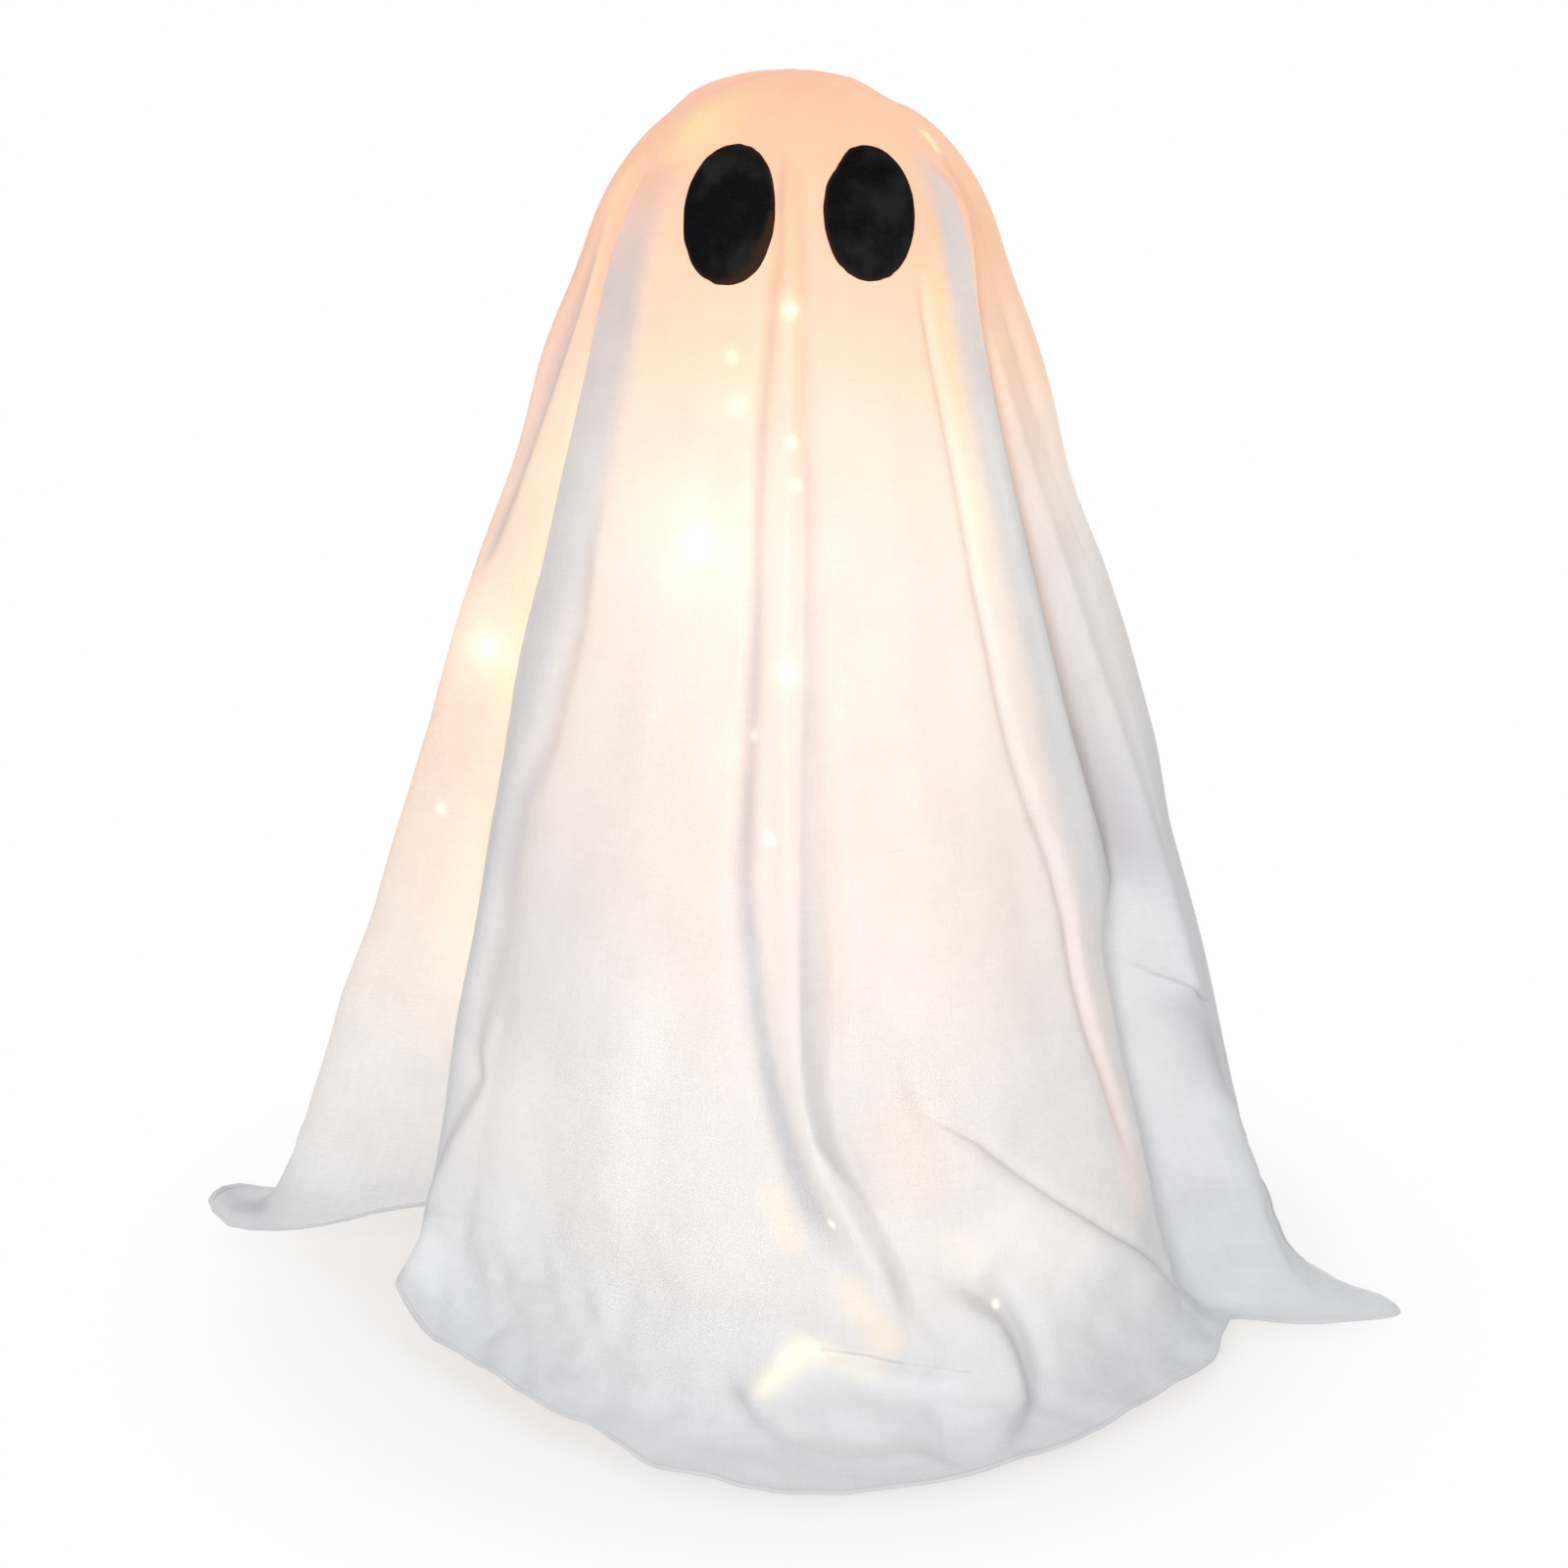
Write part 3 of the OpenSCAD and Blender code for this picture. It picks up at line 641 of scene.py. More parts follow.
@dataclass(frozen=True)
class TapeFinish:
    """White herringbone tape that binds the window."""

    colour: Colour = (0.78, 0.77, 0.74)
    thread: Colour = (0.60, 0.58, 0.54)
    rib: float = 0.0012

    def material(self, effects: Effects) -> bpy.types.Material:
        """Makes the material.

        Args:
            effects: the shared node groups.

        Returns:
            The material.
        """
        made, t, shader = new_material("tape")
        uv = t.node("UVMap", uv_map="cloth").outputs[0]
        split = t.node("SeparateXYZ", {0: uv})
        lean = t.math("PINGPONG", split.outputs[1], 0.0025)
        slanted = t.math("ADD", split.outputs[0], lean)
        ribs = t.math("SINE", t.math("MULTIPLY", slanted, 2 * math.pi / self.rib))
        tone = t.ramp(ribs, -1.0, 1.0, 0.0, 0.5)
        t.fill(shader.inputs["Base Color"], t.blend(tone, self.colour, self.thread))
        weave = use(t, effects.weave, {"Vector": uv, "Pitch": 0.001})
        t.fill(shader.inputs["Roughness"], t.ramp(weave.outputs["Slub"], 0.3, 0.7, 0.8, 0.95))
        t.fill(shader.inputs["Normal"], t.bump(ribs, 0.3, 0.0005))
        return made


@dataclass(frozen=True)
class CellFinish:
    """Dark solar cell with silver fingers and busbars, laid out in the plane of the cap."""

    silicon: Colour = (0.012, 0.018, 0.055)
    silver: Colour = (0.55, 0.56, 0.58)
    # half the space between the fingers and between the busbars
    finger: float = 0.0009
    busbar: float = 0.0065

    def material(self, effects: Effects, turn: float, shift: Point) -> bpy.types.Material:
        """Makes the material.

        Args:
            effects: the shared node groups.
            turn: the turn about X that lays the cap's axis upright.
            shift: the move that then puts the globe's centre at the origin.

        Returns:
            The material.
        """
        made, t, shader = new_material("cell")
        flat = t.turned_place(turn, shift)
        split = t.node("SeparateXYZ", {0: flat})
        finger = t.math("LESS_THAN", t.math("PINGPONG", split.outputs[0], self.finger), self.finger / 10)
        shifted = t.math("ADD", split.outputs[1], self.busbar)
        bar = t.math("LESS_THAN", t.math("PINGPONG", shifted, self.busbar), 0.0006)
        lines = t.math("MAXIMUM", finger, bar)
        grain = use(t, effects.grain, {"Vector": flat, "Scale": 160.0})
        shade = t.blend(grain.outputs["Tone"], self.silicon, tuple(c * 2.2 for c in self.silicon))
        t.fill(shader.inputs["Base Color"], t.blend(lines, shade, self.silver))
        t.fill(shader.inputs["Metallic"], t.math("MULTIPLY", lines, 0.7))
        t.fill(shader.inputs["Roughness"], t.ramp(grain.outputs["Tone"], 0.3, 0.7, 0.22, 0.34))
        return made


@dataclass(frozen=True)
class BoardFinish:
    """Lacquered circuit board with tracks, laid out in the plane of the cap."""

    name: str
    lacquer: Colour
    track: Colour

    def material(self, effects: Effects, turn: float, shift: Point) -> bpy.types.Material:
        """Makes the material.

        Args:
            effects: the shared node groups.
            turn: the turn about X that lays the cap's axis upright.
            shift: the move that then puts the globe's centre at the origin.

        Returns:
            The material.
        """
        made, t, shader = new_material(self.name)
        flat = t.turned_place(turn, shift)
        cells = t.node("TexVoronoi", {"Vector": flat, "Scale": 170.0}, distance="MANHATTAN", feature="F1")
        tracks = t.ramp(cells.outputs["Distance"], 0.42, 0.48, 0.0, 1.0)
        pads = t.ramp(cells.outputs["Distance"], 0.10, 0.14, 1.0, 0.0)
        grain = use(t, effects.grain, {"Vector": flat, "Scale": 90.0})
        tone = t.blend(grain.outputs["Tone"], self.lacquer, tuple(c * 0.8 for c in self.lacquer))
        tone = t.blend(t.math("MULTIPLY", tracks, 0.5), tone, self.track)
        t.fill(shader.inputs["Base Color"], t.blend(pads, tone, (0.62, 0.60, 0.56)))
        t.fill(shader.inputs["Metallic"], t.math("MULTIPLY", pads, 0.9))
        t.fill(shader.inputs["Roughness"], t.ramp(pads, 0.0, 1.0, 0.4, 0.3))
        t.fill(shader.inputs["Normal"], t.bump(tracks, 0.2, 0.0003))
        return made


@dataclass(frozen=True)
class SleeveFinish:
    """Shrink sleeve of the battery, with a plain contrasting band at one end."""

    sleeve: Colour = (0.05, 0.16, 0.10)
    band: Colour = (0.62, 0.60, 0.55)

    def material(self, effects: Effects, low: float, high: float) -> bpy.types.Material:
        """Makes the material.

        Args:
            effects: the shared node groups.
            low: where the cell starts along X.
            high: where it ends.

        Returns:
            The material.
        """
        made, t, shader = new_material("battery")
        place = t.place()
        along = t.node("SeparateXYZ", {0: place}).outputs[0]
        span = high - low
        band = t.ramp(along, low + 0.74 * span, low + 0.75 * span, 0.0, 1.0)
        metal = t.ramp(along, low + 0.965 * span, low + 0.97 * span, 0.0, 1.0)
        grain = use(t, effects.grain, {"Vector": place, "Scale": 120.0})
        tone = t.blend(grain.outputs["Tone"], self.sleeve, tuple(c * 1.3 for c in self.sleeve))
        t.fill(shader.inputs["Base Color"], t.blend(metal, t.blend(band, tone, self.band), (0.7, 0.7, 0.68)))
        t.fill(shader.inputs["Metallic"], metal)
        t.fill(shader.inputs["Roughness"], t.ramp(grain.outputs["Tone"], 0.3, 0.7, 0.25, 0.4))
        t.fill(shader.inputs["Normal"], t.bump(grain.outputs["Height"], 0.08, 0.0005))
        return made


@dataclass(frozen=True)
class LensFinish:
    """Clear moulded lens with faint rub marks."""

    tint: Colour = (0.93, 0.95, 0.96)

    def material(self, effects: Effects) -> bpy.types.Material:
        """Makes the material.

        Args:
            effects: the shared node groups.

        Returns:
            The material.
        """
        made, t, shader = new_material("lens")
        place = t.place()
        wear = use(t, effects.wear, {"Vector": place, "Scale": 90.0, "Amount": 0.35})
        grain = use(t, effects.grain, {"Vector": place, "Scale": 130.0})
        t.fill(shader.inputs["Base Color"], t.blend(wear.outputs["Mask"], self.tint, (0.8, 0.79, 0.76)))
        t.fill(shader.inputs["Roughness"], t.ramp(wear.outputs["Mask"], 0.0, 0.35, 0.05, 0.25))
        t.fill(shader.inputs["Normal"], t.bump(grain.outputs["Height"], 0.03, 0.0004))
        shader.inputs["Transmission Weight"].default_value = 1.0
        shader.inputs["IOR"].default_value = 1.49
        return made


# The cloth

class Form(Enum):
    """How the cloth moves at a crease."""

    RIDGE = 1
    VALLEY = 2
    STEP = 3
    BAND = 4


@dataclass(frozen=True)
class Crease:
    """A crease, drawn through places on the cloth.

    The cloth moves by height x e^-(d/width)^2 x taper, where d is the distance from the line. A step moves
    it by height on the line's left side only, fading over four widths; a band does so evenly and ends within
    four widths. Height and width change evenly from start to end.
    """

    form: Form
    line: Line
    width: tuple[float, float]
    height: tuple[float, float]
    taper: tuple[float, float] = (0.2, 0.2)

    def lift(self, angle: np.ndarray, drop: np.ndarray, scale: np.ndarray) -> np.ndarray:
        """How far the cloth moves outwards.

        Args:
            angle: fold angles of the places.
            drop: their drops in metres.
            scale: metres per degree round the cloth there.

        Returns:
            The outward move in metres.
        """
        knots = np.array(self.line, dtype=float)
        knots[:, 1] *= MM
        # 3 mm per degree is near enough for the share of the way along the line
        lengths = np.hypot(np.diff(knots[:, 0]) * 3 * MM, np.diff(knots[:, 1]))
        start = np.concatenate([[0.0], np.cumsum(lengths)])
        best = np.full(angle.shape, np.inf)
        side = np.zeros(angle.shape)
        along = np.zeros(angle.shape)
        for k, length in enumerate(lengths):
            ax = turn_from(angle, knots[k, 0]) * scale
            ay = knots[k, 1] - drop
            dx = (knots[k + 1, 0] - knots[k, 0]) * scale
            dy = knots[k + 1, 1] - knots[k, 1]
            t = np.clip(-(ax * dx + ay * dy) / (dx * dx + dy * dy + 1e-12), 0, 1)
            near = np.hypot(ax + t * dx, ay + t * dy)
            better = near < best
            best = np.where(better, near, best)
            side = np.where(better, np.sign(ax * dy - ay * dx), side)
            along = np.where(better, (start[k] + t * length) / start[-1], along)
        width = MM * (self.width[0] + (self.width[1] - self.width[0]) * along)
        height = MM * (self.height[0] + (self.height[1] - self.height[0]) * along)
        height *= hill(along, (0.0, self.taper[0]), (1 - self.taper[1], 1.0))
        signed = best * side / width
        if self.form is Form.STEP:
            return height * smooth_step(signed, -0.5, 0.5) * np.exp(-np.maximum(signed, 0) / 4)
        if self.form is Form.BAND:
            return height * hill(signed, (-0.15, 0.25), (1.8, 4.0))
        bump = height * np.exp(-(best / width) ** 2)
        return -bump if self.form is Form.VALLEY else bump

    def strength(self, angle: np.ndarray, drop: np.ndarray, scale: np.ndarray) -> np.ndarray:
        """The height itself, for a stroke of light or shade whose height is a share and not a length."""
        return self.lift(angle, drop, scale) / MM


ridge, valley, step, band = (partial(Crease, form) for form in Form)

# the edges where the front lies over the side wings, and the lines of the main creases
LEFT_EDGE: Line = (
    (186.5, -20), (187, -93), (187, -153), (187.5, -223), (188, -287), (189, -353), (190.3, -410),
    (190.5, -479), (190.2, -511), (190.2, -542), (190.6, -573), (190, -600), (186.5, -622))
LEFT_FOLD: Line = (
    (203, -470), (202.2, -426), (204.2, -396), (202.8, -361), (202, -329), (199.2, -302), (199, -267),
    (200, -232), (199.5, -202), (199, -178), (199.5, -161), (201, -147))
LEFT_FLAP: Line = (
    (195, -40), (195.8, -86), (197.5, -111), (199.5, -131), (201, -147), (199.5, -165), (199.5, -200))
LEFT_PLEAT: Line = (
    (174, -608), (172.4, -589), (172.4, -564), (172.5, -544), (172.6, -515), (172.6, -485), (172.9, -453),
    (173, -428), (172.4, -399))
RIGHT_EDGE: Line = (
    (358, -636), (349.5, -606), (346, -575), (343.5, -541), (341.5, -499), (341, -465), (341, -437),
    (340.4, -407), (340, -367), (339.6, -333), (339.8, -297), (342.5, -255), (345, -220))
RIGHT_BAND: Line = ((352, -630), (345.5, -606), (343.5, -575), (342.2, -541), *RIGHT_EDGE[4:])
RIGHT_CREASE: Line = (
    (322.5, -579), (323.5, -547), (324, -514), (324.4, -487), (324.1, -453), (323.4, -421), (323.4, -396),
    (323.2, -367), (323.6, -343), (325, -318), (328, -280), (328.8, -250), (328.8, -218), (330.1, -185),
    (332.4, -154), (333.8, -124), (334.1, -100))
PLEAT_LEFT: Line = (
    (264, -636), (263, -607), (263.4, -581), (261, -559), (258.8, -527), (257.6, -495), (258, -454),
    (258.8, -408), (258.6, -361), (258.5, -309), (258.7, -286), (260.4, -257), (261.7, -236), (263, -213),
    (264.6, -193), (266.8, -170), (269.4, -147), (272.2, -126), (276.5, -100), (279.8, -76))
PLEAT_RIGHT: Line = (
    (271.2, -634), (271.8, -598), (273, -563), (274.2, -510), (275.8, -474), (276.6, -430), (277, -383),
    (277.5, -340), (277.6, -289), (278, -250), (277.4, -217), (277, -184), (277.6, -160), (279.5, -143),
    (282.2, -127), (285.5, -106), (287.8, -87), (289, -70), (289.7, -56), (292.8, -41))
PLEAT_FACE: Line = (
    (285.4, -105), (281.4, -127), (275.8, -149), (273.5, -160), (271.8, -179), (271.1, -198), (271.1, -228),
    (271.1, -258), (271.2, -312), (271.6, -359), (272.4, -404), (273.2, -445), (273.5, -482), (273.3, -520),
    (272.8, -563), (271.8, -598), (271.2, -634))
SLANT: Line = (
    (294, -166), (297, -160), (302.2, -149), (311, -122), (320, -96), (327.8, -71), (334.5, -46),
    (338.5, -20), (338.5, -2))
ROLL_EDGE: Line = (
    (290, -79), (292.6, -76), (295.8, -73), (298.5, -66), (300.8, -56), (302, -44), (302.5, -31),
    (302.5, -17), (302, -4), (299.8, 7), (295.8, 20), (291.5, 28))
ROLL_TUCK: Line = ((274, -50), (275.8, -48), (281, -45), (286.2, -39), (295.2, -31))
ROLL_FOOT: Line = ((288, 25), (285.2, 25), (279.2, 25), (275.2, 26), (270, 13), (265.2, -7), (260.8, -32))
WING_WRINKLE: Line = ((345.6, -209), (346.6, -204), (348, -200), (350.5, -192), (354, -182))


@dataclass(frozen=True)
class CoverShape:
    """The cloth's form: a round head and folds that lean out to the ground and turn on to it.

    From the head's tangent the cloth runs straight at the lean that reaches the fold's ground point, bulges
    a little, and bends on to the ground along a hyperbola. Values between folds are eased by half a cosine.
    """

    head_r: float = 0.1005
    head_z: float = 0.54
    bend: float = 0.036
    belly: float = 0.009
    fan: float = 21.0
    lift: float = 0.0022
    # the mean way round the skirt, for waves that close
    girth: float = 1.188
    # fold angle, reach on the ground in mm, run past the bend in mm
    folds: tuple[tuple[float, float, float], ...] = (
        (0, 251, -14), (7, 256, -31), (14, 254, -28), (25, 194, 5), (37, 222, 10), (48, 190, 5),
        (60, 226, 14), (69, 194, 8), (80, 252, 40), (92, 192, 8), (106, 226, 14), (120, 190, 5),
        (138, 220, 10), (153, 198, 10), (170, 282, 34), (186, 184, -45), (195, 203, -6), (204, 186, 13),
        (220, 180, 12), (240, 183, 19), (256, 192, 34), (270, 195, 43), (285, 198, 40), (301, 202, 31),
        (318, 204, 24), (331, 211, 23), (338, 210, 18), (343, 202, 26), (350, 262, 54))
    # places where the hem hangs shorter, or with a minus longer: fold angle, half width in degrees, mm
    trims: tuple[tuple[float, float, float], ...] = ((178.5, 3.5, 12), (192, 3, 6), (345.2, 1.8, -18))
    creases: tuple[Crease, ...] = (
        # middle pleat: its two sides and the roll between them
        valley(PLEAT_LEFT, (5, 8), (2.5, 8), (0.1, 0.08)),
        valley(PLEAT_RIGHT, (8, 8), (2, 7), (0.1, 0.06)),
        ridge(((268, -600), (268.5, -510), (267.5, -446), (267.5, -383), (268, -321), (269, -265),
            (270, -217), (271.5, -184), (273.8, -153), (278, -128), (282.5, -98), (286, -67), (287.8, -50)),
            (8, 9), (1.5, 9), (0.15, 0.08)),
        # left: the front lies over the side wing, which has a pleat of its own
        step(LEFT_EDGE, (4, 3.5), (9, 7), (0.1, 0.15)),
        valley(LEFT_FOLD, (9, 7), (3, 5)),
        step(LEFT_FLAP, (6, 6), (6, 3), (0.2, 0.3)),
        valley(LEFT_PLEAT, (4, 4), (4, 4)),
        ridge(((163, 36), (170, 38), (174, 32)), (8, 8), (13, 10), (0.3, 0.3)),
        ridge(((155, -535), (164, -535), (174, -535)), (45, 45), (6, 6), (0.3, 0.3)),
        valley(((167, -400), (168, -300), (169, -150)), (45, 55), (4, 6), (0.3, 0.3)),
        ridge(((125, -655), (142, -662), (155, -655)), (22, 22), (2.4, 2.4), (0.3, 0.3)),
        # right: the front lies over the side wing, with a thin crease inside its edge
        step(RIGHT_EDGE, (4, 6), (7, 11), (0.1, 0.1)),
        valley(RIGHT_CREASE, (3, 5), (2.5, 4), (0.08, 0.1)),
        ridge(((346, -211), (346.8, -184), (347.2, -153), (347.8, -118), (347.8, -87), (348.2, -55)),
            (8, 12), (5, 6)),
        valley(WING_WRINKLE, (3, 3), (3, 4), (0.2, 0.3)),
        ridge(((0, -520), (14, -520), (26, -520)), (55, 55), (5.5, 5.5), (0.3, 0.3)),
        ridge(((10, -470), (9, -400), (8, -320), (7, -260)), (35, 35), (4.5, 4.5), (0.3, 0.3)),
        valley(((50, -668), (33, -664), (15, -655)), (22, 22), (3, 3), (0.3, 0.3)),
        valley(((348, -200), (349, -176), (349.6, -153), (350, -130)), (6, 6), (3, 3)),
        # front right: a slanting crease, below which the cloth flares
        valley(((290, -215), (291.8, -186), (294, -166), (299, -158)), (8, 5), (2, 3), (0.4, 0.3)),
        step(SLANT, (5, 6), (4, 6), (0.15, 0.3)),
        valley(SLANT, (4, 5), (3, 3)),
        # front: the roll of spare cloth on the ground
        step(ROLL_EDGE, (10, 10), (11, 12), (0.15, 0.2)),
        valley(((299, -86), (304, -70), (307, -45), (307, -18), (303, 10)), (7, 7), (4, 4)),
        valley(ROLL_TUCK, (3, 3), (5, 5), (0.1, 0.15)),
        ridge(((262.5, -16), (264.2, -23), (268.2, -45), (272.2, -57), (276, -60)), (7, 7), (4, 5)),
        step(ROLL_FOOT, (6, 6), (5, 5), (0.15, 0.15)),
        ridge(((268, -18), (276.5, -22), (283, -17), (291, -12)), (13, 13), (5, 5)),
        valley(((290.8, -10), (290, 9), (288.2, 31)), (4, 4), (2, 2)),
        # front left: three small puckers at the hem
        valley(((215, 2), (216.5, -8), (218.5, -24)), (3, 3), (1.5, 1.5)),
        valley(((233, -2), (236, -14), (238, -30)), (3, 3), (1.5, 1.5)),
        valley(((248, 4), (252, -4), (256, -20)), (4, 4), (1.6, 1.6)),
        # back: the pleats between the folds
        *(valley(((a, -470), (a + 1.5, -330), (a - 1, -180), (a, -30)), (8, 15), (2, 7), (0.4, 0.3))
          for a in (25, 48, 69, 92, 120, 152)),
        *(ridge(((a, -430), (a - 1, -260), (a, -40)), (8, 13), (1, 4), (0.5, 0.3))
          for a in (37, 60, 81, 106, 138)),
    )

    def fold_values(self, angle: np.ndarray) -> tuple[np.ndarray, np.ndarray]:
        """Ground reach and run past the bend at fold angles.

        Args:
            angle: fold angles.

        Returns:
            The reach and the run in metres.
        """
        table = np.array(self.folds, dtype=float)
        table = np.concatenate([table, table[:1] + (360.0, 0.0, 0.0)])
        a = angle % 360
        k = np.clip(np.searchsorted(table[:, 0], a, side="right") - 1, 0, len(table) - 2)
        share = (1 - np.cos(np.pi * (a - table[k, 0]) / (table[k + 1, 0] - table[k, 0]))) / 2
        values = table[k, 1:] + (table[k + 1, 1:] - table[k, 1:]) * share[..., None]
        run = values[..., 1]
        for at, half, cut in self.trims:
            run = run - cut * np.exp(-(turn_from(at, a) / half) ** 2)
        return values[..., 0] * MM, run * MM

    def lean(self, reach: np.ndarray) -> tuple[np.ndarray, np.ndarray]:
        """The lean of the hanging cloth from upright, and its length from the head to the ground bend."""
        lean = np.arccos(self.head_r / np.hypot(reach, self.head_z)) - np.arctan2(self.head_z, reach)
        return lean, (self.head_z + self.head_r * np.sin(lean)) / np.cos(lean)

    def span(self, angle: np.ndarray) -> tuple[np.ndarray, np.ndarray]:
        """The ends of the cloth's columns.

        Args:
            angle: fold angles.

        Returns:
            The drop at the top of the head and at the hem.
        """
        reach, run = self.fold_values(angle)
        lean, length = self.lean(reach)
        return -length - self.head_r * (np.pi / 2 - lean), run

    def base(self, angle: np.ndarray, drop: np.ndarray) -> np.ndarray:
        """The cloth without creases.

        Args:
            angle: fold angles.
            drop: drops in metres.

        Returns:
            Points, with a last axis of three.
        """
        reach, _ = self.fold_values(angle)
        lean, length = self.lean(reach)
        polar = np.clip((drop + length) / self.head_r + np.pi / 2 - lean, 0, np.pi / 2 - lean)
        low = np.maximum(drop, -length)
        turn = (low + np.sqrt(low ** 2 + self.bend ** 2)) / 2
        turn += (np.sqrt(length ** 2 + self.bend ** 2) - length) / 2 * low / length * (low < 0)
        out = (reach + np.sin(lean) * low + (1 - np.sin(lean)) * turn
               + self.belly * np.sin(np.pi * np.clip(-low / length, 0, 1)) ** 2)
        up = self.lift * np.clip(1 + low / length, 0, 1) + np.cos(lean) * (turn - low)
        head = drop < -length
        r = np.where(head, self.head_r * np.sin(polar), out)
        z = np.where(head, self.head_z + self.head_r * np.cos(polar), up)
        a = np.radians(angle - self.fan * np.sin(np.radians(angle - 270)) * np.clip(z / self.head_z, 0, 1))
        return np.stack([r * np.cos(a), r * np.sin(a), z], -1)

    def normal(self, angle: np.ndarray, drop: np.ndarray) -> np.ndarray:
        """Outward directions: across the cloth's two runs, each found from a small step either way.

        Args:
            angle: fold angles.
            drop: drops in metres.

        Returns:
            Directions of length one.
        """
        round_ = self.base(angle + 0.4, drop) - self.base(angle - 0.4, drop)
        down = self.base(angle, drop + 0.002) - self.base(angle, drop - 0.002)
        out = np.cross(down, round_)
        point = self.base(angle, drop) - (0.0, 0.0, self.head_z)
        return np.where(drop[..., None] < self.span(angle)[0][..., None] + 0.012, unit(point), unit(out))

    def _waves(self, dice: np.random.Generator, count: int, pitches: tuple[float, float], spread: float,
               angle: np.ndarray, drop: np.ndarray) -> np.ndarray:
        """A sum of sine waves, each as high as it is long.

        Args:
            dice: the random numbers.
            count: how many waves.
            pitches: the shortest and the longest wave.
            spread: how far their directions vary from level, in radians.
            angle: fold angles.
            drop: drops in metres.

        Returns:
            The sum in metres.
        """
        total = np.zeros(angle.shape)
        for _ in range(count):
            pitch = dice.uniform(*pitches)
            slant = dice.normal(0.0, spread)
            # whole waves round the cloth keep the seam closed
            whole = max(1, round(self.girth * math.cos(slant) / pitch))
            phase = np.radians(angle) * whole + drop * 2 * np.pi * math.sin(slant) / pitch
            total += np.sin(phase + dice.uniform(0, TURN)) * pitch
        return total

    def ripple(self, angle: np.ndarray, drop: np.ndarray) -> np.ndarray:
        """Unevenness: thirty waves of 40 to 140 mm, mostly upright, over the whole skirt, and twenty-four of
        15 to 34 mm in all directions near the hem, strongest on the front left.

        Args:
            angle: fold angles.
            drop: drops in metres.

        Returns:
            The outward move in metres.
        """
        dice = np.random.default_rng(11)
        soft = self._waves(dice, 30, (0.04, 0.14), 0.45, angle, drop)
        fine = self._waves(dice, 24, (0.015, 0.034), 0.9, angle, drop)
        left = smooth_step(np.cos(np.radians(angle - 228)), 0.6, 0.95)
        return (soft * 0.0018 * smooth_step(drop, -0.60, -0.35)
                + fine * 0.0045 * (1 + 0.8 * left) * smooth_step(drop, -0.15, -0.02))

    def points(self, angle: np.ndarray, drop: np.ndarray) -> np.ndarray:
        """The cloth with its creases, moved along its outward directions and kept off the ground.

        Args:
            angle: fold angles.
            drop: drops in metres.

        Returns:
            Points, with a last axis of three.
        """
        base = self.base(angle, drop)
        scale = per_degree(base)
        move = self.ripple(angle, drop)
        for crease in self.creases:
            move = move + crease.lift(angle, drop, scale)
        moved = base + move[..., None] * self.normal(angle, drop)
        moved[..., 2] = np.maximum(moved[..., 2], self.lift)
        return moved

    def locate(self, direction: np.ndarray) -> tuple[np.ndarray, np.ndarray]:
        """Fold angle and drop of directions from the head's centre, for places on the head.

        Args:
            direction: directions of length one.

        Returns:
            The fold angles and the drops.
        """
        table = np.linspace(90, 450, 1441)
        turned = table - self.fan * np.sin(np.radians(table - 270))
        seen = (np.degrees(np.arctan2(direction[..., 1], direction[..., 0])) - 90) % 360 + 90
        angle = np.interp(seen, turned, table)
        top, _ = self.span(angle)
        return angle, top + self.head_r * np.arccos(np.clip(direction[..., 2], -1, 1))


@dataclass(frozen=True)
class EyePatch:
    """A hand-cut felt eye: its place on the head, its half sizes and how its outline departs from an oval.

    It leans by tilt, is wider above by egg, and is pulled in by flat_by at the turn flat_at. Seed gives the
    roughness of its cut, and frayed the width of the brown edge at its worn place.
    """

    name: str
    node: str
    toward: Point
    half: tuple[float, float]
    tilt: float
    egg: float
    flat_at: float
    flat_by: float
    seed: int
    frayed: float = 0.0


